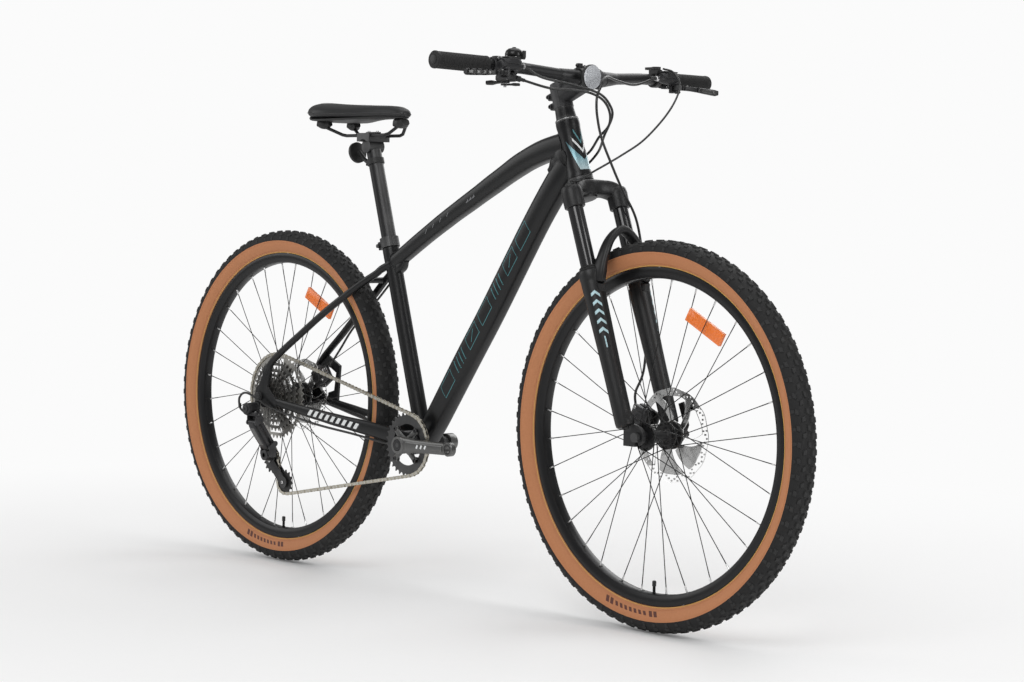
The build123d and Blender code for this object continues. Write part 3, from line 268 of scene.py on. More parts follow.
# wheels, rubber and hoses
surface("spoke_black", 0.014, 0.03, rough=0.3, metal=0.6, bump=0.02)
surface("nipple_silver", 0.6, 0.75, rough=0.28, metal=1.0)
surface("rim_anodised", (0.005, 0.005, 0.0056), (0.009, 0.009, 0.010), rough=0.33,
        metal=0.3, bump=0.03, scale=700, wear=0.15, wear_colour=0.1, bevel=0.0005)
surface("tread_rubber", (0.008, 0.008, 0.0085), 0.018, rough=0.70, rough_vary=0.1,
        bump=0.35, scale=700, wear=0.25, wear_colour=0.075, dust=0.03, spec=0.35)
surface("grip_rubber", 0.010, 0.02, rough=0.62, bump=0.3, scale=1500, spec=0.35)
surface("hose_black", 0.011, 0.02, rough=0.34, bump=0.05, scale=900, coat=0.1)
surface("crank_grey", (0.11, 0.11, 0.108), (0.15, 0.15, 0.147), rough=0.30, metal=0.8,
        bump=0.05, scale=900, wear=0.3, wear_colour=0.4, bevel=0.0010)
surface("bell_black", 0.006, 0.010, rough=0.25, rough_vary=0.05, bump=0.02, spec=0.4)
surface("chain_roller", (0.10, 0.095, 0.085), (0.17, 0.16, 0.145), rough=0.35, metal=0.9,
        bump=0.1)
# marks, saddle and small parts
surface("teal_mark", (0.10, 0.27, 0.30), (0.14, 0.34, 0.37), rough=0.35, metal=0.3,
        bump=0.02)
surface("teal_line", (0.06, 0.20, 0.22), (0.10, 0.28, 0.30), rough=0.35, metal=0.4,
        bump=0.02)
surface("white_mark", (0.78, 0.80, 0.80), (0.86, 0.88, 0.88), rough=0.4, bump=0.02)
surface("grey_line", (0.16, 0.165, 0.17), (0.22, 0.22, 0.23), rough=0.35, metal=0.3,
        bump=0.02)
surface("saddle_leather", (0.010, 0.010, 0.0105), (0.022, 0.022, 0.023), rough=0.46,
        rough_vary=0.07, bump=0.5, grain=900.0, spec=0.45, bump_depth=0.00015)
surface("stitching", 0.05, 0.09, rough=0.7, bump=0.3)
surface("mark_iceblue", (0.42, 0.62, 0.68), (0.55, 0.74, 0.78), rough=0.35, metal=0.2)
surface("sidewall_mark", (0.09, 0.028, 0.018), (0.14, 0.045, 0.03), rough=0.6, bump=0.1)
surface("bead_line", (0.72, 0.46, 0.10), (0.85, 0.58, 0.16), rough=0.5)
surface("valve_black", 0.012, 0.03, rough=0.3, metal=1.0)
surface("tan_sidewall", (0.50, 0.20, 0.088), (0.60, 0.265, 0.125), rough=0.58, bump=0.12,
        scale=260, dust=0.02, spec=0.3)
# the orange spoke reflectors get a faint painted glow
lens("orange_prism", (0.95, 0.17, 0.004), cell_scale=420.0, painted_glow=0.05)
lens("clear_prism", (0.46, 0.475, 0.50), cell_scale=230.0, transmission=0.1)
lens("rear_prism", (0.03, 0.006, 0.006), cell_scale=420.0)


# ------------------------------------------------------------------ geometry helpers
def turn(k, n):
    """Angle of step k out of n round a circle."""
    return 2 * pi * k / n


def radial(angle):
    """Unit vector in the xz plane, and round_from() the one a quarter turn on."""
    return vec(cos(angle), 0, sin(angle))


def round_from(direction):
    return vec(-direction.z, 0, direction.x)


def signed_power(value, power):
    return copysign(abs(value) ** power, value)


def circle(centre, a, b, radius, n, flat=1.0):
    return [centre + a * (radius * cos(turn(k, n))) + b * (radius * flat * sin(turn(k, n)))
            for k in range(n)]


def tangent(points, i):
    return points[min(i + 1, len(points) - 1)] - points[max(i - 1, 0)]


def interpolate(table, at):
    """Straight-line reading of a rising (place, value) table."""
    return next(v0 + (v1 - v0) * (at - p0) / (p1 - p0)
                for (p0, v0), (p1, v1) in zip(table, table[1:]) if p0 <= at <= p1)


def spline(points, per=10):
    """Catmull-Rom curve through the points, with per steps in each span."""
    points = [Vector(p) for p in points]
    ends = [points[0] * 2 - points[1]] + points + [points[-1] * 2 - points[-2]]
    out = []
    for a, b, c, d in zip(ends, ends[1:], ends[2:], ends[3:]):
        for k in range(per):
            t = k / per
            out.append(0.5 * ((2 * b) + (c - a) * t + (2 * a - 5 * b + 4 * c - d) * t * t
                              + (3 * b - a - 3 * c + d) * t ** 3))
    return out + [points[-1]]


def eased(values, per):
    """Values between stations, levelling off at each station."""
    out = []
    for first, second in zip(values, values[1:]):
        for k in range(per):
            f = k / per
            out.append(first + (second - first) * (f * f * (3 - 2 * f)))
    return out + [values[-1]]


def section(centre, along, width, height, power, n=32, drop=0.0, side=Y):
    """Super-ellipse square to along, width towards side; drop narrows its lower half."""
    along = Vector(along).normalized()
    side = (side - along * side.dot(along)).normalized()
    up = side.cross(along)
    if up.z < 0:
        up = -up
    out = []
    for k in range(n):
        across, rise = cos(turn(k, n)), sin(turn(k, n))
        x = signed_power(across, power) * width / 2
        y = signed_power(rise, power) * height / 2
        if rise < 0:
            x *= 1 - drop * abs(rise)
        out.append(Vector(centre) + side * x + up * y)
    return out


def trim_to_tube(ring, axis_point, axis, radius, along):
    """Move every ring point along a direction until it lies on a cylinder."""
    axis, along = axis.normalized(), Vector(along).normalized()
    out = []
    for p in ring:
        offset = p - axis_point
        move = along - axis * along.dot(axis)
        away = offset - axis * offset.dot(axis)
        a, b = move.dot(move), 2 * move.dot(away)
        root = b * b - 4 * a * (away.dot(away) - radius * radius)
        distance = -b / (2 * a) if root < 0 else (-b - sqrt(root)) / (2 * a)
        out.append(p + along * distance)
    return out


class Part:
    """Gathers shapes in millimetres and makes one Blender mesh of them.

    mat is the index of a shape's material slot.
    """

    def __init__(self):
        self.points, self.faces, self.mats = [], [], []

    def add(self, points, faces, mat=0):
        """mat may also be a list with one index for each face."""
        first = len(self.points)
        self.points += [Vector(p) for p in points]
        self.faces += [tuple(i + first for i in face) for face in faces]
        self.mats += [mat] * len(faces) if isinstance(mat, int) else mat

    def grid(self, rows):
        n = len(rows[0])
        self.add([p for row in rows for p in row],
                 [(i * n + j, (i + 1) * n + j, (i + 1) * n + j + 1, i * n + j + 1)
                  for i in range(len(rows) - 1) for j in range(n - 1)])

    def skin(self, rings, mat=0, cap=True, closed=False):
        """Join rings in turn; mat may be a list with one index for each side of a ring."""
        n, rows = len(rings[0]), len(rings)
        faces = []
        for i in range(rows if closed else rows - 1):
            here, there = i * n, (i + 1) % rows * n
            for a in range(n):
                b = (a + 1) % n
                faces.append((here + a, here + b, there + b, there + a))
        if cap and not closed:
            faces += [tuple(range(n - 1, -1, -1)), tuple(range((rows - 1) * n, rows * n))]
        if isinstance(mat, list):
            mat = mat * rows
        self.add([p for ring in rings for p in ring], faces, mat)

    def tube(self, points, radius, n=12, mat=0, flat=1.0):
        """Round bar along points; radius may be a list with one for each point."""
        points = [Vector(p) for p in points]
        radii = radius if isinstance(radius, list) else [radius] * len(points)
        start = (points[1] - points[0]).normalized()
        normal = start.cross(vec(0.13, 0.27, 0.95)).normalized()
        rings = []
        for i, p in enumerate(points):
            along = tangent(points, i).normalized()
            normal = (normal - along * normal.dot(along)).normalized()
            rings.append(circle(p, normal, along.cross(normal), radii[i], n, flat))
        self.skin(rings, mat)

    def lathe(self, base, axis, profile, n=32, mat=0, cap=True, closed=False):
        """profile: (radius, distance along axis from base)."""
        base, axis = Vector(base), Vector(axis).normalized()
        a = axis.orthogonal().normalized()
        b = axis.cross(a)
        rings = [circle(base + axis * t, a, b, r, n) for r, t in profile]
        self.skin(rings, mat, cap, closed)

    def rod(self, start, end, radius, n=24, mat=0):
        start, end = Vector(start), Vector(end)
        length = (end - start).length
        edge = min(0.5, length * 0.3, radius * 0.4)
        self.lathe(start, end - start, [(radius - edge, 0), (radius, edge),
                                        (radius, length - edge), (radius - edge, length)],
                   n, mat)

    def collar(self, start, end, outer, inner, n=32, mat=0, edge=0.4):
        start, end = Vector(start), Vector(end)
        length = (end - start).length
        edge = min(edge, length * 0.3, (outer - inner) * 0.3)
        half = [(inner, edge), (inner + edge, 0), (outer - edge, 0), (outer, edge)]
        self.lathe(start, end - start, half + [(r, length - t) for r, t in reversed(half)],
                   n, mat, closed=True)

    def screw(self, base, axis, radius, height, mat=0):
        """Round head with a hexagon recess."""
        base, axis = Vector(base), Vector(axis).normalized()
        a = axis.orthogonal().normalized()
        b = axis.cross(a)
        n = 24
        rings = [circle(base + axis * t, a, b, r, n)
                 for r, t in ((radius, 0), (radius, height * 0.82), (radius * 0.9, height))]
        for t in (height, height * 0.45):
            ring = []
            for k in range(n):
                angle = turn(k, n)
                r = radius * 0.46 / cos((angle % (pi / 3)) - pi / 6)
                ring.append(base + axis * t + a * (r * cos(angle)) + b * (r * sin(angle)))
            rings.append(ring)
        self.skin(rings, mat)

    def block(self, centre, u, v, w, edge=0.8, mat=0):
        """Box with rounded edges; u, v and w are its half-extent vectors."""
        centre, u, v, w = Vector(centre), Vector(u), Vector(v), Vector(w)
        size = [u.length, v.length, w.length]
        bm = bmesh.new()
        bmesh.ops.create_cube(bm, size=2.0)
        for vert in bm.verts:
            vert.co = vec(*(c * s for c, s in zip(vert.co, size)))
        bmesh.ops.bevel(bm, geom=list(bm.edges), offset=min(edge, min(size) * 0.6),
                        segments=2, affect="EDGES", profile=0.6)
        bm.verts.index_update()
        u, v, w = u.normalized(), v.normalized(), w.normalized()
        points = [centre + u * p.co.x + v * p.co.y + w * p.co.z for p in bm.verts]
        faces = [tuple(p.index for p in face.verts) for face in bm.faces]
        if u.cross(v).dot(w) < 0:
            faces = [tuple(reversed(face)) for face in faces]
        bm.free()
        self.add(points, faces, mat)

    def loft(self, points, widths, heights, power, per=6, mat=0, drop=0.0, n=32, side=Y):
        """Super-elliptic sections of changing size along a spline."""
        centres = spline(points, per)
        sizes = zip(eased(widths, per), eased(heights, per))
        self.skin([section(centres[i], tangent(centres, i), w, h, power, n, drop, side)
                   for i, (w, h) in enumerate(sizes)], mat)

    def weld(self, ring):
        """Rippled bead round a closed ring of points."""
        points = [p.lerp(ring[(i + 1) % len(ring)], k / 3)
                  for i, p in enumerate(ring) for k in range(3)]
        centre = sum(points, Vector()) / len(points)
        rings = []
        for i, p in enumerate(points):
            along = (points[(i + 1) % len(points)] - points[i - 1]).normalized()
            out = p - centre
            out = (out - along * out.dot(along)).normalized()
            rings.append(circle(p, out, along.cross(out), 0.9 + (0.08 if i % 2 else 0), 6))
        self.skin(rings, closed=True)

    def plate(self, outline, low, high, edge, inset, centre, move_x, move_z):
        """Flat (x, z) outline between two y planes, its faces drawn in towards centre.

        move_x and move_z say which points may move in x and in z.
        """
        mid_x, mid_z = centre
        rings = []
        for y, k in ((low, inset), (low + edge, 1.0), (high - edge, 1.0), (high, inset)):
            rings.append([vec(mid_x + (x - mid_x) * k if move_x(x, z) else x, y,
                              mid_z + (z - mid_z) * k if move_z(x, z) else z)
                          for x, z in outline])
        self.skin(rings)

    def make(self, name, materials, body=None, replaces=(), angle=35, subsurf=0):
        """materials: names separated by spaces, one for each slot."""
        mesh = bpy.data.meshes.new(name)
        mesh.from_pydata([place(*p) for p in self.points], [], self.faces)
        for material in materials.split():
            mesh.materials.append(MATERIALS[material])
        for polygon, mat in zip(mesh.polygons, self.mats):
            polygon.material_index = mat
        mesh.validate()
        bm = bmesh.new()
        bm.from_mesh(mesh)
        bmesh.ops.recalc_face_normals(bm, faces=bm.faces)
        bm.to_mesh(mesh)
        bm.free()
        mesh.shade_smooth()
        mesh.set_sharp_from_angle(angle=radians(angle))
        obj = link_object(name, mesh)
        if subsurf:
            modifier = obj.modifiers.new("sub", "SUBSURF")
            modifier.levels = modifier.render_levels = subsurf
        if body:
            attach(obj, body)
        if replaces:
            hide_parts(*replaces)
        return obj


def link_object(name, data):
    obj = bpy.data.objects.new(name, data)
    bpy.context.scene.collection.objects.link(obj)
    return obj


# ------------------------------------------------------------------ materials of CAD pieces
CAD_MATERIALS = {
    "frame_paint": "frame",
    "fork_paint": "fork_crown fork_lowers",
    "stanchion_gloss": "stanchions",
    "black_anodised": "frame_bearings seat_collar derailleur_hanger rear_axle stem_hardware "
                      "handlebar front_axle front_hub rear_hub crank_spindle chainring "
                      "rd_cage seatpost saddle_clamp saddle_rails right_brake_lever "
                      "left_brake_lever bell front_qr_lever rear_qr_lever",
    "black_cast": "rear_caliper stem brake_masters rd_b_knuckle rd_outer_link "
                  "rd_inner_link rd_p_knuckle",
    "black_moulded": "shifter_body lockout_remote rd_guide_pulley rd_tension_pulley "
                     "shift_lever release_lever lockout_lever bell_striker",
    "machined_alloy": "front_caliper",
    "chain_steel": "chain",
    "cassette_steel": "cassette",
    "crank_grey": "crank_arms",
}
for material, pieces in CAD_MATERIALS.items():
    for piece in pieces.split():
        if piece in NODES:          # a piece absent from the CAD is passed over
            mesh = NODES[piece].data
            mesh.materials.clear()
            mesh.materials.append(MATERIALS[material])
            for polygon in mesh.polygons:
                polygon.material_index = 0

# ------------------------------------------------------------------ wheels
# tyre casing from bead to crown: (radius, y)
CASING = [(317.6, 12.5), (318.6, 14.6), (322, 17.2), (328, 21.0), (334, 24.0), (340, 26.2),
          (345.4, 27.2), (345.8, 27.6), (350, 27.4), (355, 25.8), (360, 21.5), (363.4, 15),
          (365.2, 8), (365.8, 0)]
TAN_TOP = 345.4                     # radius where the tan sidewall ends
TREAD_PITCHES = 78
# tread blocks from the middle out:
# (tilt, radius, y, half length, half width, height, skew)
TREAD_ROWS = [(0.10, 365.4, 4.6, 5.2, 3.2, 2.9, 1.2),
              (0.45, 363.2, 13.8, 4.3, 3.4, 2.8, -1.4),
              (0.95, 357.6, 22.4, 5.0, 3.3, 2.6, 1.0),
              (1.25, 351.5, 26.2, 3.2, 4.2, 1.6, 0)]
NARROW_EDGE = 3.0                   # half width of every second outermost block
# dark sidewall bars: (first angle, last angle, inner radius, outer radius)
SIDEWALL_BARS = ([(-108, -106.6, 326, 336), (-106, -104.6, 326, 336)]
                 + [(-103.6 + 2.1 * i, -102.4 + 2.1 * i, 327.5, 334.5) for i in range(7)]
                 + [(-88.4, -87.0, 326, 336), (-86.4, -85, 326, 336)])
# right half of the rim section: (radius, y)
RIM_HALF = [(296, -8.5), (297.5, -11.2), (303, -14.0), (309, -14.9), (316.2, -15.0),
            (317.4, -14.4), (317.2, -13.2), (314, -12.6), (307, -12), (304.5, -7)]
ROTOR_ARMS = 6
ROTOR_HOLES = ROTOR_ARMS * 6        # drilling places in each row


def wheel_rings(wheel, profile, steps):
    """The (radius, y) profile repeated round the axle."""
    return [[vec(wheel.x + r * cos(turn(k, steps)), y, AXLE_Z + r * sin(turn(k, steps)))
             for r, y in profile] for k in range(steps)]


def tread_block(part, wheel, side, angle, row):
    tilt, radius, y, length, width, height, skew = row
    out = radial(angle)
    around = round_from(out)
    normal = (out * cos(tilt) + Y * (side * sin(tilt))).normalized()
    across = around.cross(normal).normalized()
    foot = wheel.hub + out * radius + Y * (side * y)
    points = [foot + around * (s * length * grow + t * skew * side)
              + across * (t * width * grow) + normal * rise
              for grow, rise in ((1.12, -0.8), (0.88, height))
              for s, t in ((-1, -1), (1, -1), (1, 1), (-1, 1))]
    part.add(points, [(4, 5, 6, 7), (0, 1, 5, 4), (1, 2, 6, 5), (2, 3, 7, 6), (3, 0, 4, 7)], 1)


def tyre(wheel):
    part = Part()
    outer = CASING + [(r, -y) for r, y in reversed(CASING[:-1])]
    inner = [(r - 2.2 if r > 360 else r, y * 0.86) for r, y in reversed(outer)]
    mats = [0 if max(r0, r1) <= TAN_TOP else 1 for (r0, _), (r1, _) in zip(outer, outer[1:])]
    mats += [1] * (len(inner) + 1)
    part.skin(wheel_rings(wheel, outer + inner, 200), mats, closed=True)
    half = pi / TREAD_PITCHES
    for k in range(TREAD_PITCHES):
        for side in (1, -1):
            lead = half if side < 0 else 0
            rows = list(TREAD_ROWS)
            if k % 2:
                rows[3] = (*rows[3][:4], NARROW_EDGE, *rows[3][5:])
            phases = (lead, half - lead + half * 0.1, lead, half * (0.9 if k % 2 else 1.1))
            for phase, row in zip(phases, rows):
                tread_block(part, wheel, side, turn(k, TREAD_PITCHES) + phase, row)
    part.make(wheel.name + "_tyre_skin", "tan_sidewall tread_rubber", wheel.body,
              [wheel.name + "_tyre"], angle=30)


def sidewall_lines(wheel):
    part = Part()
    for side in (1, -1):
        # (radius, y, line radius, material slot)
        for r, y, line, mat in ((319.4, 15.5, 0.55, 0), (323.5, 18.4, 0.28, 1),
                                (342.2, 26.75, 0.28, 1)):
            profile = [(r + line * cos(turn(q, 6)), side * (y + line * sin(turn(q, 6))))
                       for q in range(6)]
            part.skin(wheel_rings(wheel, profile, 180), mat, closed=True)
    part.make(wheel.name + "_sidewall_lines", "bead_line tan_sidewall", wheel.body)


def sidewall_marks(wheel):
    part = Part()
    steps = 4
    for side in (1, -1):
        for a0, a1, r0, r1 in SIDEWALL_BARS:
            rows = []
            for i in range(steps + 1):
                row = []
                for j in range(steps + 1):
                    r = r0 + (r1 - r0) * j / steps
                    angle = radians(a0 + (a1 - a0) * i / steps + (j - 2) * 0.25)
                    row.append(vec(wheel.x + r * cos(angle),
                                   side * (interpolate(CASING, r) + 0.25),
                                   AXLE_Z + r * sin(angle)))
                rows.append(row)
            part.grid(rows)
    part.make(wheel.name + "_sidewall_marks", "sidewall_mark", wheel.body)


def rim(wheel):
    part = Part()
    profile = RIM_HALF + [(r, -y) for r, y in reversed(RIM_HALF)] + [(295.6, 0)]
    part.skin(wheel_rings(wheel, profile, 180), closed=True)
    for k in range(32):             # spoke seats
        out = radial(radians(5.625 + 11.25 * k))
        part.lathe(wheel.hub + out * 294.9, out, [(3.1, 0), (3.4, 0.5), (3.4, 1.5)], 12, 1)
    for side in (-1, 1):            # joint line at the foot
        part.tube([(wheel.x, side * 14.95, AXLE_Z - 315), (wheel.x, side * 14.2, AXLE_Z - 303)],
                  0.18, 6, 1)
    valve_z = AXLE_Z - 295.5
    part.lathe((wheel.x, 0, valve_z), Z, [(3.6, 0), (3.6, 1.6), (2.9, 1.7), (2.9, 12),
                                          (2.4, 12.2), (2.4, 14)], 16, 2)
    part.lathe((wheel.x, 0, valve_z + 13), Z, [(3.7, 0), (3.9, 0.6), (3.9, 8.6), (3.2, 10.2),
                                               (1.0, 10.8)], 16, 3)
    part.make(wheel.name + "_rim_shell", "rim_anodised spoke_black valve_black black_moulded",
              wheel.body, [wheel.name + "_rim"], angle=28)


def spokes(wheel):
    """Laced spokes, each with its elbow, head and nipple."""
    part = Part()
    for side, flange in ((1, wheel.left_flange), (-1, wheel.right_flange)):
        for k in range(16):
            step = 1 if k % 2 else -1         # which face of the flange the spoke leaves
            angle = radians(5.625 + 22.5 * k + (11.25 if side < 0 else 0))
            hole = angle + radians(67.5 * step)
            elbow = wheel.hub + vec(wheel.flange_radius * cos(hole), flange + 3.5 * step,
                                    wheel.flange_radius * sin(hole))
            end = wheel.hub + vec(295.3 * cos(angle), 3.0 * side, 295.3 * sin(angle))
            d = (end - elbow).normalized()
            head = vec(elbow.x, flange - 2.2 * step, elbow.z)
            part.tube([head, vec(elbow.x, flange, elbow.z), elbow + d * 1.2, elbow + d * 3],
                      1.15, 8)
            part.lathe(head, head - elbow, [(1.9, -0.4), (1.9, 0.6), (1.0, 1.1)], 8)
            part.tube([elbow + d * 2, elbow + d * 20, elbow + d * 24,
                       end - d * 34, end - d * 30, end - d * 9],
                      [1.1, 1.1, 0.9, 0.9, 1.05, 1.05], 8)
            part.lathe(end - d * 12.5, d, [(1.3, 0), (1.65, 0.5), (1.65, 9.0), (2.0, 10.5),
                                           (2.0, 12.4)], 10, 1)
    part.make(wheel.name + "_spoke_set", "spoke_black nipple_silver", wheel.body,
              [wheel.name + "_spokes"])


def hub_shell(wheel):
    part = Part()
    span = wheel.left_flange - wheel.right_flange
    lip = wheel.flange_radius + 3.4
    rim_r = wheel.flange_radius + 4.0
    part.lathe((wheel.x, wheel.right_flange - 1.6, AXLE_Z), Y, [
        (12.3, 0), (lip, 0), (rim_r, 0.6), (rim_r, 2.6), (lip, 3.2), (17, 3.8), (14.2, 7),
        (12.6, 14), (12.6, span - 10), (14.2, span - 4), (17, span - 0.6), (lip, span),
        (rim_r, span + 0.6), (rim_r, span + 2.6), (lip, span + 3.2), (20, span + 4.4),
        (18.4, span + 7), (18.0, wheel.rotor_y - 1.2 - wheel.right_flange + 1.6)], 40)
    part.make(wheel.name + "_hub_shell", "black_anodised", wheel.body)


def polar(radius, angle):
    return radius * cos(angle), radius * sin(angle)


def closed_line(curve, points):
    line = curve.splines.new("POLY")
    line.points.add(len(points) - 1)
    for point, (x, z) in zip(line.points, points):
        point.co = (x / 1000, z / 1000, 0, 1)
    line.use_cyclic_u = True


def rotor_window(track_radius, i):
    """Opening between two swept arms: wavy outer edge, then the two arm edges."""
    start, pitch = turn(i, ROTOR_ARMS), 2 * pi / ROTOR_ARMS
    points = []
    for q in range(13):
        angle = start + pitch * (0.10 + 0.80 * (q / 12))
        points.append(polar(track_radius - 0.8 * cos(12 * angle), angle))
    for edge, taper, fractions in ((0.90, -0.05, [1 - q / 6 for q in range(7)]),
                                   (0.10, 0.08, [q / 6 for q in range(7)])):
        for f in fractions:
            angle = start + pitch * edge + -0.42 * (1 - f) + pitch * taper * (1 - f)
            points.append(polar(29 + (track_radius - 29) * f, angle))
    return points


def rotor(wheel):
    """Wavy braking track with drilled rows, carried on swept arms."""
    name, radius = wheel.name + "_rotor_c", wheel.rotor_radius
    curve = bpy.data.curves.new(name, "CURVE")
    curve.dimensions = "2D"
    curve.fill_mode = "BOTH"
    curve.extrude = 0.0009
    curve.bevel_depth = 0.00012
    curve.bevel_resolution = 1
    angles = [turn(i, 240) for i in range(240)]
    closed_line(curve, [polar(radius - 0.9 + 0.9 * cos(12 * t), t) for t in angles])
    for i in range(ROTOR_ARMS):
        closed_line(curve, rotor_window(radius - 15.0, i))
    for k in range(ROTOR_HOLES):
        # (depth below the rim, phase, hole radius)
        for row, (depth, phase, hole) in enumerate(((3.8, 0.0, 1.9), (7.6, 0.5, 2.1),
                                                    (11.4, 0.0, 1.8))):
            if (k + row) % 3 == 2:
                continue
            x, z = polar(radius - depth, turn(k + phase, ROTOR_HOLES))
            closed_line(curve, [(x + hole * cos(turn(i, 12)), z + hole * sin(turn(i, 12)))
                                for i in range(12)])
    closed_line(curve, [polar(17.2, turn(i, 48)) for i in range(48)])
    flat = link_object(name, curve)
    graph = bpy.context.evaluated_depsgraph_get()
    mesh = bpy.data.meshes.new_from_object(flat.evaluated_get(graph))
    bpy.data.objects.remove(flat)
    mesh.transform(Matrix.Translation(place(wheel.x, wheel.rotor_y, AXLE_Z))
                   @ Matrix.Rotation(radians(90), 4, "X"))
    bm = bmesh.new()
    bm.from_mesh(mesh)
    bmesh.ops.remove_doubles(bm, verts=bm.verts, dist=1e-6)
    bmesh.ops.recalc_face_normals(bm, faces=bm.faces)
    bm.to_mesh(mesh)
    bm.free()
    mesh.materials.clear()
    mesh.materials.append(MATERIALS["rotor_steel"])
    disc = link_object(wheel.name + "_rotor_disc", mesh)
    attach(disc, wheel.body)
    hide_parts(wheel.name + "_rotor")


def rotor_bolts(wheel):
    part = Part()
    for i in range(6):
        out = radial(radians(60 * i + 12))
        part.screw(wheel.hub + out * 22 + Y * (wheel.rotor_y + 0.9), Y, 3.6, 2.4)
    part.collar(wheel.hub + Y * (wheel.rotor_y - 4), wheel.hub + Y * (wheel.rotor_y + 1.6),
                26.5, 17.3, 36)
    part.make(wheel.name + "_rotor_bolts", "black_anodised", wheel.body)


def spoke_reflector(wheel):
    part = Part()
    out = radial(radians(62))
    around = round_from(out)
    centre = wheel.hub + out * 238
    for side in (-1, 1):
        part.block(centre + Y * (side * 1.7), around * 48, out * 13.2, Y * 1.9, 1.8)
        part.block(centre + Y * (side * 3.5), around * 44.5, out * 9.8, Y * 0.6, 0.5, 1)
        for i in range(-5, 6):
            part.block(centre + Y * (side * 4.0) + around * (i * 7.8), around * 0.35,
                       out * 9.2, Y * 0.4, 0.2)
    part.make(wheel.name + "_reflector_bar", "orange_prism orange_prism", wheel.body,
              [wheel.name + "_spoke_reflector"])


for wheel in (FRONT, REAR):
    for build in (tyre, sidewall_lines, sidewall_marks, rim, spokes, hub_shell, rotor,
                  rotor_bolts, spoke_reflector):
        build(wheel)

# ------------------------------------------------------------------ largest cog, brighter
cassette = NODES["cassette"].data
cassette.materials.append(MATERIALS["largest_cog_steel"])
for polygon in cassette.polygons:
    x, y, z = polygon.center * 1000
    if y > -28.5 and hypot(x - X_SHIFT, z - AXLE_Z) > 60:
        polygon.material_index = 1

# ------------------------------------------------------------------ chain
# link centres in order round the loop: (x, y, z)
CHAIN = [
    (-65.36, -26, 304.07), (-73.73, -26, 313.59), (-80.72, -26, 324.15), (-86.21, -26, 335.57),
    (-90.1, -26, 347.63), (-92.31, -26, 360.11), (-92.79, -26, 372.77), (-91.55, -26, 385.38),
    (-88.6, -26, 397.7), (-84.01, -26, 409.51), (-77.84, -26, 420.58), (-70.23, -26, 430.71),
    (-61.31, -26, 439.71), (-51.25, -26, 447.41), (-40.23, -26, 453.66), (-28.46, -26, 458.36),
    (-16.17, -26, 461.42), (-3.57, -26, 462.77), (9.1, -26, 462.39), (21.64, -26, 460.51),
    (34.08, -26, 457.96), (46.52, -26.25, 455.38), (58.95, -26.84, 452.81),
    (71.39, -27.53, 450.23), (83.83, -28.21, 447.65), (96.26, -28.9, 445.07),
    (108.7, -29.59, 442.49), (121.13, -30.27, 439.91), (133.57, -30.96, 437.34),
    (146, -31.65, 434.76), (158.44, -32.33, 432.18), (170.87, -33.02, 429.6),
    (183.31, -33.71, 427.02), (195.74, -34.39, 424.44), (208.18, -35.08, 421.86),
    (220.62, -35.77, 419.29), (233.05, -36.45, 416.71), (245.49, -37.14, 414.13),
    (257.92, -37.83, 411.55), (270.36, -38.51, 408.97), (282.79, -39.2, 406.39),
    (295.23, -39.89, 403.82), (307.66, -40.57, 401.24), (320.1, -41.26, 398.66),
    (332.54, -41.95, 396.08), (344.97, -42.63, 393.5), (357.41, -43.32, 390.92),
    (369.84, -44.01, 388.34), (382.28, -44.69, 385.77), (394.71, -45.38, 383.19),
    (407.15, -46.07, 380.61), (419.58, -46.75, 378.03), (432.02, -47.44, 375.45),
    (444.45, -48.13, 372.87), (456.89, -48.73, 370.3), (469.33, -49, 367.72),
    (481.76, -49, 365.11), (493.94, -49, 361.62), (505.35, -49, 356.18), (515.47, -49, 348.61),
    (523.92, -49, 339.22), (530.38, -49, 328.35), (534.6, -49, 316.44), (536.41, -49, 303.93),
    (535.74, -49, 291.31), (532.62, -49, 279.06), (527.18, -49, 267.65), (519.61, -49, 257.53),
    (510.22, -49, 249.08), (499.35, -49, 242.62), (487.45, -49, 238.37), (475.05, -49, 235.65),
    (462.57, -48.92, 233.3), (450.09, -48.48, 230.95), (437.61, -47.75, 228.6),
    (425.13, -47.02, 226.24), (412.64, -46.29, 223.89), (400.16, -45.57, 221.54),
    (387.68, -44.84, 219.19), (375.2, -44.11, 216.84), (362.72, -43.38, 214.49),
    (350.24, -42.65, 212.14), (337.76, -41.93, 209.79), (325.28, -41.2, 207.43),
    (312.8, -40.47, 205.08), (300.32, -39.74, 202.73), (287.84, -39.01, 200.38),
    (275.36, -38.29, 198.03), (262.88, -37.56, 195.68), (250.4, -36.83, 193.33),
    (237.92, -36.1, 190.97), (225.44, -35.37, 188.62), (212.96, -34.65, 186.27),
    (200.48, -33.92, 183.92), (188, -33.19, 181.57), (175.52, -32.46, 179.22),
    (163.04, -31.73, 176.87), (150.56, -31.01, 174.52), (138.08, -30.28, 172.16),
    (125.59, -29.55, 169.81), (113.11, -28.82, 167.46), (100.63, -28.09, 165.11),
    (88.15, -27.37, 162.76), (75.67, -26.64, 160.41), (63.19, -26.14, 158.06),
    (50.71, -26, 155.7), (38.14, -26, 153.95), (25.86, -26, 155.58), (15.68, -26, 162.54),
    (9.89, -26, 173.42), (9, -26, 185.91), (10.42, -26, 198.54), (11.94, -26, 211.15),
    (12.53, -26, 223.8), (9.33, -26, 235.73), (1.55, -26, 245.54), (-8.01, -26, 253.93),
    (-17.61, -26, 262.23), (-27.22, -26, 270.54), (-36.83, -26, 278.84), (-46.44, -26, 287.15),
    (-56.05, -26, 295.45)]

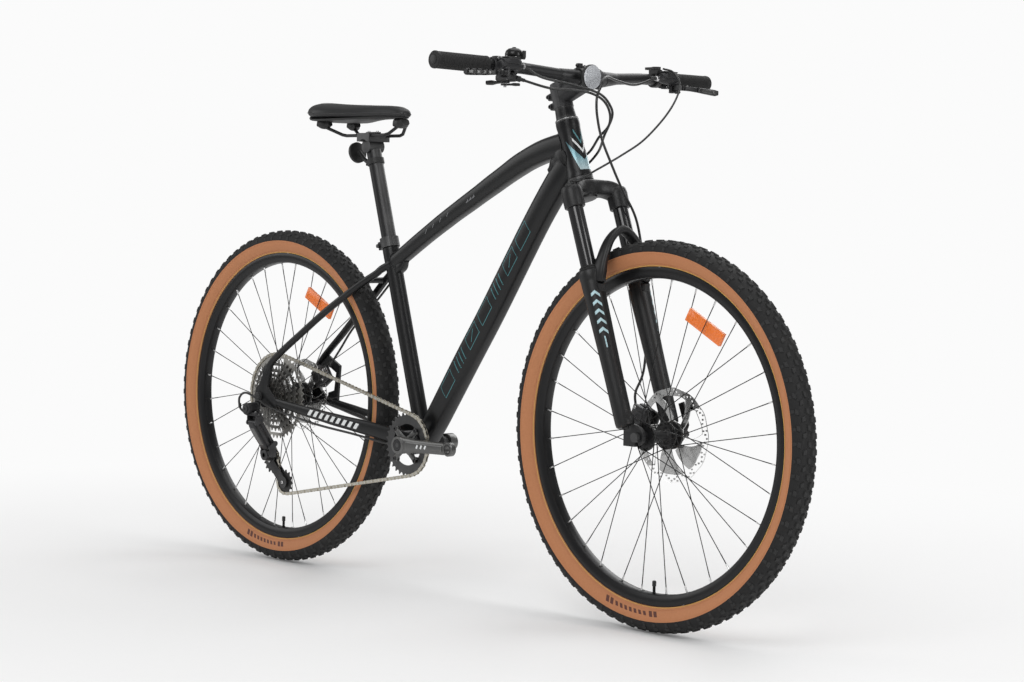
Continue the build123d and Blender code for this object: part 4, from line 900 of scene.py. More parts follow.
plate_outline = []                  # waisted side plate: (along, up)
for q in range(20):
    c, s = cos(turn(q, 20)), sin(turn(q, 20))
    end = abs(c) > 0.25
    plate_outline.append((6.35 * (1 if c > 0 else -1) * (1 if end else abs(c) / 0.25)
                          + 4.0 * c * (1 if end else 0.4),
                          s * (3.9 if abs(c) > 0.3 else 2.7)))
links = [Vector(p) for p in CHAIN]
pins = [(p + links[(i + 1) % len(links)]) / 2 for i, p in enumerate(links)]
part = Part()
for i, pin in enumerate(pins):
    along = pin - pins[i - 1]
    if along.length > 16 or along.length < 9:
        continue
    centre = (pins[i - 1] + pin) / 2
    along.normalize()
    across = (Y - along * Y.dot(along)).normalized()
    up = along.cross(across)
    for side in (-1, 1):            # outer and inner plates alternate
        part.skin([[centre + along * x + up * z + across * (side * y)
                    for x, z in plate_outline]
                   for y in ((2.15, 3.0) if i % 2 else (1.25, 2.05))])
    part.lathe(pin - across * 3.2, across, [(1.0, 0), (1.75, 0.2), (1.75, 6.2), (1.0, 6.4)],
               10, 2)
    part.lathe(pin - across * 1.15, across, [(3.6, 0), (3.6, 2.3)], 12, 1)
part.make("chain_links", "chain_steel chain_roller machined_alloy", "frame", ["chain"],
          angle=36)

# ------------------------------------------------------------------ grips
part = Part()
for side in (-1, 1):
    inner, outer = bar_at(side * 249), bar_at(side * 374)
    axis = outer - inner
    length = axis.length
    axis.normalize()
    profile = [(11.8, 0.2), (15.8, 0.2), (16.5, 1.2), (16.5, 4.2), (16.1, 5.2), (15.6, 6.0)]
    t = 6.0
    while t < length - 12:          # ribs
        profile += [(15.6, t + 0.5), (16.3, t + 1.1), (16.3, t + 2.6), (15.6, t + 3.2)]
        t += 3.9
    profile += [(16.2, length - 7), (16.7, length - 5.5), (16.6, length - 2),
                (15.0, length - 0.4), (4.0, length)]
    n = 44
    a = axis.orthogonal().normalized()
    b = axis.cross(a)
    part.skin([[inner + axis * t + (a * cos(turn(k, n)) + b * sin(turn(k, n)))
                * (r - (0.45 if (k % 2 and 6 < t < length - 8) else 0)) for k in range(n)]
               for r, t in profile])
    part.lathe(outer, axis, [(9.0, -0.2), (9.0, 0.5), (8.2, 0.9), (2.0, 1.0)], 24, 1)
part.make("grip_pair", "grip_rubber black_moulded", "front_end", ["grips"], angle=40)

# ------------------------------------------------------------------ saddle
# tail to nose: (x, half width, top z, bottom z)
SADDLE = [(113, 30, 1008, 992), (118, 48, 1013, 984), (130, 60, 1016.5, 980),
          (148, 67.5, 1017.5, 977.5), (168, 70.5, 1017, 977), (190, 69, 1015.5, 977),
          (215, 62, 1013.5, 978), (240, 51, 1012, 979), (265, 40, 1011, 980),
          (290, 32, 1010, 981), (320, 26, 1009, 981.5), (350, 22, 1007.5, 981.5),
          (375, 19, 1004, 981.5), (388, 15, 999.5, 981.5), (394, 9, 994, 983)]
SADDLE_WAIST = 0.38                 # height of the widest line between bottom and top


def saddle_ring(station, grow=0.0):
    x, width, top, bottom = station
    middle = bottom + (top - bottom) * SADDLE_WAIST
    out = []
    for k in range(28):
        across, up = cos(turn(k, 28)), sin(turn(k, 28))
        y = signed_power(across, 0.62 if up < 0 else 0.72) * (width + grow)
        if up >= 0:
            z = middle + (top - middle + grow) * (abs(up) ** 0.95)
            if 135 < x < 345:       # channel down the centre
                z -= 2.2 * exp(-(y / 7.0) ** 2)
        else:
            z = middle - (middle - bottom + grow) * (abs(up) ** 0.8)
            y *= 1 - 0.10 * abs(up)
        out.append(vec(x, y, z))
    return out


part = Part()
part.skin([saddle_ring(station) for station in SADDLE])
part.make("saddle_cover", "saddle_leather", "saddle", ["saddle"], angle=70, subsurf=2)

part = Part()
STITCH_Y = 0.42                     # place of the sewn line across the half width
stitch_rise = sqrt(1 - (STITCH_Y ** (1 / 0.72)) ** 2) ** 0.95
for side in (-1, 1):                # piped seam round the flank, sewn line on the top
    seam = [saddle_ring(station, 0.15)[0 if side > 0 else 14] for station in SADDLE[1:-1]]
    part.tube(spline(seam, 4), 0.55, 6)
    line = []
    for x, width, top, bottom in SADDLE[2:-2]:
        middle = bottom + (top - bottom) * SADDLE_WAIST
        line.append(vec(x, side * width * STITCH_Y, middle + (top - middle) * stitch_rise))
    line = spline(line, 12)
    for j in range(0, len(line) - 1, 2):
        part.tube(line[j:j + 2], 0.35, 5)
part.make("saddle_seams", "stitching", "saddle")

part = Part()
rings = []
for x, width, _, z in SADDLE[1:-1]:
    w = width - 6
    rings.append([vec(x, y, z + rise) for y, rise in (
        (-w, 3), (-w * 0.96, -1.0), (-w * 0.5, -2.2), (0, -2.6), (w * 0.5, -2.2),
        (w * 0.96, -1.0), (w, 3), (w * 0.5, 4), (-w * 0.5, 4))])
part.skin(rings)
part.make("saddle_base", "black_moulded", "saddle", angle=30)

# ------------------------------------------------------------------ hoses and cables
HOUSING_START = vec(SHIFTER.x + 26, -188, SHIFTER.z - 24)
REAR_BRAKE_HOSE = [
    (934.2, -178, 1057), (946, -146.1, 1038.8), (962, -76.8, 1028.1), (972, -45.3, 1021.2),
    (978, -16.3, 1011.8), (978, 5.2, 996), (972, 20.9, 977.3), (955, 26.9, 953.4),
    (925, 33.6, 934.4), (878, 50, 903), (846, 24, 884)]
SHIFT_HOUSING = [
    HOUSING_START, (962, -140.9, 1018.3), (972, -86.4, 1017.6), (982, -55.2, 1014.3),
    (988, -26.3, 1003.7), (986, -4.4, 985.5), (976, 10.2, 962), (950, 22.1, 936),
    (900, 56, 905), (866, 46, 872), (836, 24, 855)]
FRONT_BRAKE_HOSE = [
    (934.2, 178, 1057), (950, 104.4, 1039.5), (968, 35.2, 1042.6), (980, -2.1, 1047.2),
    (992, -27.5, 1040.4), (998, -38.8, 1026.9), (1003, -52.4, 1011.5), (1006, -58.3, 994.2),
    (1006, -55.3, 967.8), (1006, -42.2, 927.5), (1002, -8.5, 878), (997, 26.5, 832.8),
    (992, 76, 770), (1004, 91, 660), (1012, 92, 600), (1022, 74, 490), (1020, 54, 444),
    (1029, 45, 420)]
LOCKOUT_CABLE = [
    (932, 204, 1078), (955, 208.3, 1070.9), (972, 209.2, 1050.2), (984, 193.2, 1026.2),
    (994, 161.2, 994.1), (1000, 119.3, 959.5), (1002, 71.4, 925.2), (1000, 21, 898.6),
    (994, -7.4, 882.9), (980, -41.1, 862.3), (962, -53.4, 847.4), (944, -62, 846)]
DERAILLEUR_LOOP = [(100, -75.5, 337), (40, -84, 352), (-20, -93, 376), (-44, -96, 366),
                   (-46, -94, 344), (-36, -91, 334), (-30, -90, 331)]
SEAT_STAY_HOSE = [(330, 26, 640), (240, 52, 586), (150, 66, 526), (104, 70, 480),
                  (88, 62, 452), (82, 56, 436)]
CHAIN_STAY_HOUSING = [(430, -34, 292), (380, -44, 299), (300, -55, 310), (200, -66, 321),
                      (100, -75.5, 337)]
HOSE_RADIUS = 2.5

part = Part()
for points in (REAR_BRAKE_HOSE, SHIFT_HOUSING):
    part.tube(spline(points, 14), HOSE_RADIUS)
hoses = part.make("steering_hoses", "hose_black", None, ["rear_cables"])
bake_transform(hoses)

part = Part()
part.tube(spline(DERAILLEUR_LOOP, 12), HOSE_RADIUS)
part.rod((-45.5, -94.5, 352), (-45.5, -94.2, 342), 3.4, 14)
part.tube(spline(SEAT_STAY_HOSE, 12), HOSE_RADIUS)
part.tube(spline(CHAIN_STAY_HOUSING, 10), HOSE_RADIUS)
part.make("rear_triangle_hoses", "hose_black", "frame")

part = Part()
part.tube(spline(FRONT_BRAKE_HOSE, 14), HOSE_RADIUS)
hoses = part.make("front_brake_hose", "hose_black", None, ["front_cables"])
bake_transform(hoses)

part = Part()
part.tube(spline(LOCKOUT_CABLE, 14), 2.0)
part.make("lockout_cable", "hose_black", "front_end")

# ------------------------------------------------------------------ reflectors
part = Part()
facing = vec(0.999, 0, -0.04)
part.lathe((957.0, -28, 1046), facing, [(22.5, 0), (24.2, 0.8), (24.2, 5.5), (23.0, 7.0)],
           48, 1)
part.lathe((963.2, -28, 1045.8), facing, [(22.8, 0), (22.8, 1.2), (20, 2.2), (12, 3.0),
                                          (5, 3.3), (0.6, 3.35)], 48)
for k in range(12):                 # ribs across the lens
    c, s = cos(turn(k, 12)), sin(turn(k, 12))
    part.tube([(966.4, -28 + 4 * c, 1045.6 + 4 * s), (966.0, -28 + 21 * c, 1045.6 + 21 * s)],
              0.4, 6)
part.collar((928, -34.5, 1046.2), (928, -22.4, 1046), 19.0, 16.1, 36, 1)
part.block((945.5, -28, 1046), X * 6.5, Y * 5, Z * 5, 1, 1)
part.block((953.5, -28, 1046), X * 5.0, Y * 4, Z * 8, 1, 1)
part.block((928, -28, 1068), X * 4, Y * 5.5, Z * 5.5, 1, 1)
part.screw((928, -34, 1069), -Y, 2.8, 2.6, 1)
part.make("front_reflector_unit", "clear_prism black_moulded", "front_end",
          ["front_reflector"])

part = Part()
facing = vec(-0.98, 0, -0.2).normalized()
back = vec(234.5, 0, 910)
part.lathe(back, facing, [(21, 0), (22.6, 0.8), (22.6, 6.4), (21.4, 7.4)], 48, 1)
part.lathe(back + facing * 6.8, facing, [(21.2, 0), (20.8, 1.2), (14, 2.0), (0.5, 2.3)], 48)
part.collar(seat(609), seat(621), 18.6, 15.9, 36, 1)
start, end = seat(615, -17.5), vec(236, 0, 910)
part.tube([start, (start + end) * 0.5 - Z * 3, end], [5.5, 4.5, 5.5], 12, 1)
part.screw(seat(615, -21, -6), -Y, 2.8, 2.4, 1)
part.make("rear_reflector_unit", "rear_prism black_moulded", "seatpost", ["rear_reflector"])

# ------------------------------------------------------------------ frame
# outer wall of the head tube: (radius, height above its lower end)
HEAD_BASE = -119.9
HEAD_WALL = [(24.6, 0), (25.4, 0.8), (25.4, 7), (24.4, 10), (23.4, 24), (22.6, 46),
             (22.2, 68), (22.4, 92), (23.0, 104), (23.6, 108)]
# dropout plate seen from the side: (x, z), slotted for the axle
DROPOUT = [
    (58, 350), (60, 362), (52, 373), (38, 381), (28, 392), (31, 412), (37, 430), (34, 440),
    (24, 444), (14, 438), (8, 418), (0, 400), (-12, 389), (-17, 374), (-18, 356), (-13, 346),
    (-6, 343.5), (-5.4, 352), (-5.2, 368), (-3.6, 373.4), (0, 375.2), (3.6, 373.4),
    (5.2, 368), (5.4, 350), (10, 346), (30, 347)]
BRAKE_MOUNT = [(34, 448), (60, 462), (104, 440), (98, 362), (62, 356), (66, 378), (86, 384),
               (92, 424), (60, 440), (30, 420)]

part = Part()
# down tube, then top tube
part.loft([(478, 0, 309), (520, 0, 369), (598, 0, 482), (672, 0, 587), (786, 0, 757),
           (846, 0, 838), (880, 0, 881)],
          [46, 46, 46, 46, 46, 47, 40], [44, 50, 52, 52, 51, 52, 50], 0.62, drop=0.16)
part.loft([(352, 0, 668), (384, 0, 687), (458, 0, 731), (534, 0, 773.5), (608, 0, 812),
           (683, 0, 851), (754, 0, 886), (816, 0, 908), (878, 0, 921)],
          [31, 32, 33, 34.5, 36, 38, 40, 41, 39], [29, 31, 32, 34, 36, 39, 43, 46, 48],
          0.64, drop=0.08)
# seat tube, head tube and bottom bracket shell
part.lathe(seat(0), SEAT_UP, [
    (17.4, 18), (17.4, 30), (17.4, 380), (17.9, 386), (18.2, 418), (17.9, 423.2),
    (17.0, 424), (15.9, 424), (15.9, 300), (15.9, 60)], 40, cap=False)
part.lathe(steer(HEAD_BASE), STEER_UP, [(17.1, 0.2)] + HEAD_WALL
           + [(23.6, 115.4), (22.8, 116.6), (17.1, 116.5)], 48, cap=False)
part.lathe(BRACKET - Y * 36.5, Y, [
    (17.1, 0), (20.6, 0), (21.6, 1.0), (21.6, 7), (21.3, 9), (21.3, 64), (21.6, 66),
    (21.6, 72), (20.6, 73), (17.1, 73)], 48, cap=False)
for side in (1, -1):
    chain_stay = [(456, 24, 305), (440, 28.5, 307.5), (400, 35, 315), (340, 43.5, 324),
                  (260, 53, 333), (180, 60.2, 343), (100, 66.3, 354), (60, 69.2, 359.5),
                  (32, 71, 363.5)]
    part.loft([(x, y * -side, z) for x, y, z in chain_stay],
              [12, 12.5, 13.5, 14, 14, 13, 11.5, 10.5, 8.5],
              [34, 34, 33, 31, 27, 23.5, 19.5, 18, 16], 0.7, per=5, n=24)
    seat_stay = [(364, 11, 673), (340, 17, 661), (325, 20.5, 650), (290, 30, 629),
                 (248, 40, 601), (185, 50, 559), (121, 60, 512), (74, 66, 478),
                 (42, 69.4, 453), (28, 71, 436), (22, 71.2, 424)]
    part.tube(spline([(x, y * -side, z) for x, y, z in seat_stay], 5),
              [8.4] * 6 + [8.0] * 20 + [7.7] * 20 + [6.6] * 5, 18, flat=0.94)
    low, high = (-75.0, -67.6) if side > 0 else (67.6, 75.0)

    def off_slot(x, z):
        return abs(x) > 9 or z > 380

    part.plate(DROPOUT, low, high, 0.9, 0.965, (18, 380), off_slot, off_slot)
    part.tube([(22, -71.2 * side, 436), (33, -71.2 * side, 438)], 3.2, 10)
# brake mount plate on the left
part.skin([[vec(x, y, z) for x, z in BRAKE_MOUNT] for y in (67, 70, 73)])
# bridges between the stays
part.tube([(297, y, 636) for y in (-31, -22, 0, 22, 31)], [7.8, 6.5, 6.2, 6.5, 7.8], 20)
part.tube([(402, y, 315) for y in (-33, -24, 0, 24, 33)], [8.4, 7.0, 6.8, 7.0, 8.4], 20)
# bottle bosses with round washers
tube_along = vec(114, 0, 170).normalized()
tube_out = round_from(tube_along)
for k in (-32, 32):
    part.lathe(vec(635, 0, 534) + tube_along * k + tube_out * 18, tube_out,
               [(7.0, 4), (7.0, 6.4), (6.0, 7.2), (5.9, 9.9), (2.6, 9.9), (2.6, 4)],
               24, cap=False)
# two slanted guide blocks left of the down tube, behind the head
for x, y, z in ((866, 44, 889), (836, 24, 850)):
    part.block((x - 4, y * 0.72, z - 3), (6, 0, 6), (0, 3.2, 0), (-4, 0, 4), 1.2)
# weld beads: (centre, direction, width, height, power, drop, axis point, axis, radius)
for centre, along, width, height, power, drop, axis_point, axis, radius in (
        ((850, 0, 843), (34, 0, 43), 47, 53, 0.62, 0.16, steer(0), STEER_UP, 23.6),
        ((840, 0, 913), (62, 0, 13), 41, 48, 0.64, 0.08, steer(0), STEER_UP, 23.4),
        ((520, 0, 369), (-120, 0, -173), 47, 49, 0.62, 0.16, BRACKET, Y, 22.0),
        ((400, 0, 697), (-74, 0, -43), 33, 32, 0.64, 0.08, seat(0), SEAT_UP, 18.0)):
    ring = section(centre, along, width, height, power, drop=drop)
    part.weld(trim_to_tube(ring, axis_point, axis, radius, along))
# fillets in the corners behind the head tube and in front of the seat tube
part.loft([(830, 0, 866), (850, 0, 880), (868, 0, 892), (884, 0, 900)],
          [20, 34, 40, 38], [16, 34, 50, 58], 0.62, per=5)
part.loft([(398, 0, 682), (386, 0, 668), (366, 0, 650)], [16, 24, 22], [12, 20, 12], 0.6,
          per=4)
FRAME = part.make("frame_tubes", "frame_paint", "frame", ["frame"], angle=32)


# ------------------------------------------------------------------ marks laid on surfaces
def decal(name, target, body, polygons, to_space, direction, material, cut=5.0):
    """Thin skin: flat polygons set in space by to_space and dropped on to the target.

    Edges longer than cut are divided first, so that the skin follows the surface.
    """
    mesh = target.data
    tree = BVHTree.FromPolygons([v.co.copy() for v in mesh.vertices],
                                [tuple(p.vertices) for p in mesh.polygons])
    bm = bmesh.new()
    for points in polygons:
        bm.faces.new([bm.verts.new((x, y, 0)) for x, y in points])
    for _ in range(7):
        long_edges = [e for e in bm.edges if e.calc_length() > cut]
        if not long_edges:
            break
        bmesh.ops.subdivide_edges(bm, edges=long_edges, cuts=1)
        bmesh.ops.triangulate(bm, faces=bm.faces)
    direction = direction.normalized()
    missed = []
    for vert in bm.verts:
        start = place(*to_space(vert.co.x, vert.co.y)) - direction * 0.3
        hit, normal, _, _ = tree.ray_cast(start, direction)
        if hit is None:
            missed.append(vert)
            continue
        if normal.dot(direction) > 0:
            normal = -normal
        vert.co = hit + normal * (0.22 / 1000)
    bmesh.ops.delete(bm, geom=missed, context="VERTS")
    mesh = bpy.data.meshes.new(name)
    bm.to_mesh(mesh)
    bm.free()
    mesh.materials.append(MATERIALS[material])
    mesh.shade_smooth()
    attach(link_object(name, mesh), body)


def frame_decal(name, side, polygons, material, cut=5.0):
    decal(f"{name}_{SIDE_NAME[side]}", FRAME, "frame", polygons,
          lambda x, z: (x, side * 200, z), vec(0, -side, 0), material, cut)


slashes = []
for i in range(9):
    x = 165 + i * 17.5
    z = 345 - (x - 180) * 0.135
    slashes.append([(x - 3, z - 6.5), (x + 6.5, z - 7.7), (x + 15, z + 4.0),
                    (x + 5.5, z + 5.2)])
for side in (-1, 1):
    frame_decal("chainstay_slashes", side, slashes, "white_mark")

# ------------------------------------------------------------------ fork
# half of the crown, right end to middle: (y, ahead, up, width, height)
CROWN_HALF = [(-63, 27, -160, 30, 40), (-56, 26, -156, 34, 38), (-46, 23, -150, 34, 34),
              (-34, 18, -146, 34, 31), (-20, 11, -144, 40, 33), (0, 8, -144, 48, 36)]
# half of the arch between the legs, same columns
ARCH_HALF = [(-61, 34, -356, 34, 24), (-60.5, 48, -330, 31, 19), (-51, 61, -297, 26, 15.5),
             (-31, 70, -266, 23, 14.5), (0, 74.5, -249, 22, 15)]
FORK_TAB = [
    (1096, 352), (1126.4, 352), (1126.4, 370), (1127.8, 373.4), (1131, 374.7),
    (1134.2, 373.4), (1135.6, 370), (1135.6, 355.5), (1143, 359), (1147, 364),
    (1147.4, 378), (1143, 385), (1134, 390.5), (1112, 396.5), (1096, 394)]


def mirrored(half):
    return half + [(-y, *rest) for y, *rest in reversed(half[:-1])]


part = Part()
crown = mirrored(CROWN_HALF)
rings = []
for i, centre in enumerate(spline([steer(up, ahead, y) for y, ahead, up, _, _ in crown], 4)):
    k = min(i // 4, len(crown) - 2)
    f = i / 4 - k
    width, height = (crown[k][c] + (crown[k + 1][c] - crown[k][c]) * f for c in (3, 4))
    rings.append(section(centre, Y, width, height, 0.6, n=28, side=STEER_AHEAD))
part.skin(rings)
part.lathe(steer(-164), STEER_UP, [(20, 0), (24, 1), (25, 4), (25, 30), (24.6, 36.5),
                                   (22, 37.2), (14.3, 37.4)], 40)
part.rod(steer(-150), steer(69), 14.2, 32)
for side in (1, -1):
    part.lathe(leg(-190, side), STEER_UP, [
        (15.1, 0), (19.0, 0), (20.2, 1.4), (20.4, 16), (20.8, 30), (19.4, 38.5),
        (17.5, 41.5), (12.5, 42.0), (12.5, 40.4), (11.8, 40.0), (2, 40.0)], 36, cap=False)
    if side < 0:                    # dial with grip notches
        part.lathe(leg(-150, side), STEER_UP, [(2, 0.5), (11, 0.5), (11, 2), (9.4, 3),
                                               (9.2, 8), (8.0, 9.4), (1, 9.6)], 24, 1)
        for q in range(10):
            out = STEER_AHEAD * cos(turn(q, 10)) + Y * sin(turn(q, 10))
            part.tube([leg(-147, side) + out * 9.2, leg(-142.5, side) + out * 9.0],
                      0.9, 6, 1)
    else:                           # hexagonal cap
        part.lathe(leg(-150, side), STEER_UP, [(2, 0.5), (10, 0.5), (10, 3.5), (8.8, 5.5),
                                               (1, 6.0)], 6, 1)
part.make("fork_crown_cast", "fork_paint black_anodised", "front_end", ["fork_crown"])

part = Part()
for side in (1, -1):
    y = LEG_Y * side
    part.lathe(leg(-624, side), STEER_UP, [
        (3, 0), (13, 0.3), (16.6, 3), (17.5, 10), (17.7, 60), (17.9, 110), (18.8, 160),
        (20.0, 215), (21.0, 262), (21.6, 284), (21.4, 288), (22.3, 291), (22.4, 303),
        (21.2, 306.6), (15.3, 307.3)], 44, cap=False)
    part.screw(leg(-624, side), -STEER_UP, 7, 3.2, 2)
    low, high = sorted((side * 49.8, side * 58.2))
    part.plate(FORK_TAB, low, high, 1.2, 0.94, (1121, 374),
               lambda x, z: x > 1138 or x < 1110, lambda x, z: x > 1138 or z > 380)
    # web joining the leg's foot to the tab
    part.loft([steer(-598, 26, y), steer(-606, 34, y * 0.95), (1108, y * 0.87, 380)],
              [30, 30, 22], [26, 22, 9], 0.7, per=5, side=X)
arch = mirrored(ARCH_HALF)
arch_points = [steer(up, ahead, y) for y, ahead, up, _, _ in arch]
part.loft(arch_points, [row[3] for row in arch], [row[4] for row in arch], 0.68, n=28,
          side=STEER_AHEAD)
part.loft([p + STEER_AHEAD * 6.5 for p in arch_points[1:-1]],
          [16, 13, 11, 10.5, 11, 13, 16], [8, 6, 5, 5, 5, 6, 8], 0.8, n=16,
          side=STEER_AHEAD)
# brake mount on the left leg
FRONT_CALIPER_ANGLE = 160
out = radial(radians(FRONT_CALIPER_ANGLE))
around = round_from(out)
part.block(FRONT.hub + Y * 60.5 + out * 80 + around * 15, out * 20, around * 31, Y * 3.5, 2.4)
for k in (-9, 39):
    part.lathe(FRONT.hub + Y * 57 + out * 92 + around * k, -Y,
               [(8, -3), (8, 1.2), (7, 2.2), (3, 2.2)], 20)
for side in (1, -1):                # seals at the top of the legs
    part.lathe(leg(-316.7, side), STEER_UP, [
        (15.05, 0), (20.5, 0), (20.8, 2.2), (19.0, 3.6), (18.2, 5.8), (16.6, 8.4),
        (15.08, 8.6)], 40, 1, cap=False)
    part.collar(leg(-311.6, side), leg(-310.2, side), 18.9, 17.9, 36, 1)
FORK = part.make("fork_lower_casting", "fork_paint grip_rubber black_anodised",
                 "fork_lowers", ["fork_lowers"], angle=34)

# ------------------------------------------------------------------ cranks
# arm centre line: (reach from the spindle, distance out, share of the end's lift)
CRANK_ARM = [(4, 68, 0), (26, 69.5, 0.15), (60, 73, 0.36), (110, 78, 0.66), (152, 83, 0.9),
             (159, 84.2, 1)]
CRANK_LENGTH = 170.0

for side in (-1, 1):                # the right arm points forward, the left one back
    part = Part()
    out = Y * side
    lift = -6.0 * side
    arm = [vec(472 - side * reach, side * y, 301 + share * lift)
           for reach, y, share in CRANK_ARM]
    pedal_eye = vec(472 - side * CRANK_LENGTH, 0, 301 + lift)
    part.loft(arm, [14, 15, 14.5, 13.5, 12.5, 12], [36, 32, 27.5, 25.5, 25, 22], 0.6, n=28)
    # long shallow rib down the outer face
    part.loft([p + out * 6.6 for p in arm[1:-1]], [3, 3, 2.8, 2.4], [17, 15, 13.5, 12],
              0.75, n=20, mat=1)
    part.lathe(BRACKET + out * 57.5, out, [(12.2, 0), (17.6, 0), (18.6, 1), (18.6, 18),
                                           (17.4, 20), (12.4, 20), (12.0, 19.0)],
               40, cap=False)
    part.lathe(BRACKET + out * 74.5, out, [(1, 1.5), (5.0, 1.5), (5.2, 3.4), (8.8, 3.6),
                                           (10.6, 3.2), (11.4, 2.0), (11.6, 0)], 36, 2)
    part.collar(pedal_eye + out * 78.2, pedal_eye + out * 91, 14.2, 6.95, 40, 0, edge=1.2)
    part.collar(pedal_eye + out * 90.6, pedal_eye + out * 91.6, 10.6, 7.2, 32, 2, edge=0.3)
    for q in range(3):              # white ticks
        part.block(arm[2].lerp(arm[3], 0.15 + q * 0.28) + out * 8.0,
                   (2.0, 0, 3.6), (0, 0.35, 0), (2.2, 0, -0.6), 0.2, 3)
    if side < 0:                    # four chainring arms and their bolts
        centre = BRACKET - Y * 54
        for i in range(4):
            away = radial(radians(45 + 90 * i))
            part.loft([centre + away * 12, centre + away * 26, centre + away * 36,
                       centre + away * 45 + Y * 1.2],
                      [8, 7.5, 6, 5], [20, 13, 12, 15], 0.7, per=4, n=20)
            part.screw(centre + away * 44 - Y, -Y, 4.6, 3.0, 2)
    part.make("crank_forging_" + SIDE_NAME[side],
              "crank_grey crank_grey black_anodised white_mark", "crank",
              ["crank_arms"] if side < 0 else [], angle=34)


# ------------------------------------------------------------------ brake controls
def brake_master(side, clamp, pivot):
    part = Part()
    start, end = clamp + vec(30, side * 4, -1), clamp + vec(30, -side * 52, 0)
    axis = (end - start).normalized()
    part.collar(bar_at(side * 226), bar_at(side * 238), 15.8, 11.75, 36, 0, edge=1.0)
    for z, up in ((13, 1), (-13, -1)):
        part.block(clamp + vec(8, 0, z), X * 6.5, Y * 6, Z * 4.2, 1.4)
        part.screw(clamp + vec(13, 0, z), (1, 0, 0.1 * up), 3.1, 2.6, 1)
    # barrel, hose nut and sleeve
    part.lathe(start - axis * 9, axis, [(2, 0), (7.6, 0.6), (9.8, 3), (10.6, 12), (10.2, 24),
                                        (9.2, 36), (8.4, 46), (6.6, 52), (5.6, 55),
                                        (5.6, 58)], 30)
    part.lathe(start + axis * 48, axis, [(5.4, 0), (5.4, 6.5), (4.6, 7.2), (4.2, 7.4)], 6, 1)
    part.lathe(start + axis * 54, axis, [(3.9, 0), (3.9, 3), (3.4, 12), (2.7, 17)], 16, 2)
    # reservoir with its lid
    middle = start.lerp(end, 0.36)
    part.loft([middle - axis * 23 + vec(1, 0, 7), middle - axis * 12 + vec(1.5, 0, 8.5),
               middle + axis * 8 + vec(1.5, 0, 8.5), middle + axis * 21 + vec(1, 0, 6.5)],
              [17, 21, 20, 13], [9, 13, 13, 8], 0.5, per=5, n=24, side=X)
    part.block(middle - axis * 1.5 + vec(1.5, 0, 15.4), X * 8.6, axis * 17, Z * 1.3, 0.9, 2)
    for k in (-13, 11):
        part.screw(middle + axis * k + vec(1.5, 0, 16.4), Z, 2.2, 1.2, 1)
    # bracket and the two cheeks round the lever pivot
    part.block(clamp + vec(17, 0, -2), X * 8, Y * 6.2, Z * 7.0, 2.4)
    for z in (-8.2, 8.2):
        part.loft([pivot + vec(x, 0, z) for x in (-17, -8, 1, 5.2)],
                  [14, 14.5, 13, 8], [4, 4, 4, 3.6], 0.6, per=4, n=20)
        part.lathe(pivot + Z * z, Z if z > 0 else -Z,
                   [(5.4, 1.2), (5.4, 2.6), (4.4, 3.4), (1, 3.4)], 20)
    part.block(pivot + vec(-13.5, 0, 1), X * 4.2, Y * 6.8, Z * 10, 2.2)
    part.rod(pivot - Z * 11.8, pivot + Z * 11.8, 2.45, 16, 1)
    part.make("brake_master_" + SIDE_NAME[side], "black_cast machined_alloy black_moulded",
              "front_end", ["brake_masters"] if side > 0 else [], angle=36)


def brake_blade(side, pivot):
    part = Part()
    blade = [pivot + vec(x, side * y, z) for x, y, z in (
        (0, 0, 0), (4, 13, 0), (9, 29, -1), (12, 46, -2), (11.2, 70, -3), (7.2, 94, -3.6),
        (5.4, 106, -4), (8.4, 112.5, -4))]
    part.loft(blade, [10.8, 9.4, 8.8, 9.6, 11.6, 12.8, 12.6, 9.5],
              [10, 9, 8, 7.4, 7, 6.6, 7, 7], 0.62, n=24, side=Z)
    part.lathe(pivot - Z * 5.8, Z, [(2.6, 0), (5.6, 0), (6.2, 0.8), (6.2, 10.8),
                                    (5.6, 11.6), (2.6, 11.6)], 28, cap=False)
    part.loft([p + X * 3.2 for p in blade[3:7]], [5.4, 6.4, 7.2, 6.0], [2.4, 2.2, 2.2, 2.2],
              0.7, n=16, side=Z, mat=1)
    part.screw(pivot + vec(8, side * 20, 3.4), Z, 2.4, 2.2, 1)
    lever = ("right" if side < 0 else "left") + "_brake_lever"
    part.make("brake_blade_" + SIDE_NAME[side], "black_anodised crank_grey", lever, [lever],
              angle=36)


for side in (-1, 1):
    clamp = bar_at(side * 232)
    pivot = clamp + vec(40, side * 2, -16)
    brake_master(side, clamp, pivot)
    brake_blade(side, pivot)

# ------------------------------------------------------------------ shifter
SHIFT_PIVOT = SHIFTER + vec(10, 0, -24)
part = Part()
part.collar(bar_at(-207), bar_at(-217), 15.6, 11.75, 36, 0, edge=1.0)
part.screw(SHIFTER + vec(15, 0, 3), (1, 0, 0.2), 2.8, 2.4, 2)
part.block(SHIFTER + vec(3, 0, -14), X * 7, Y * 5.4, Z * 5.4, 1.6)
rings = []
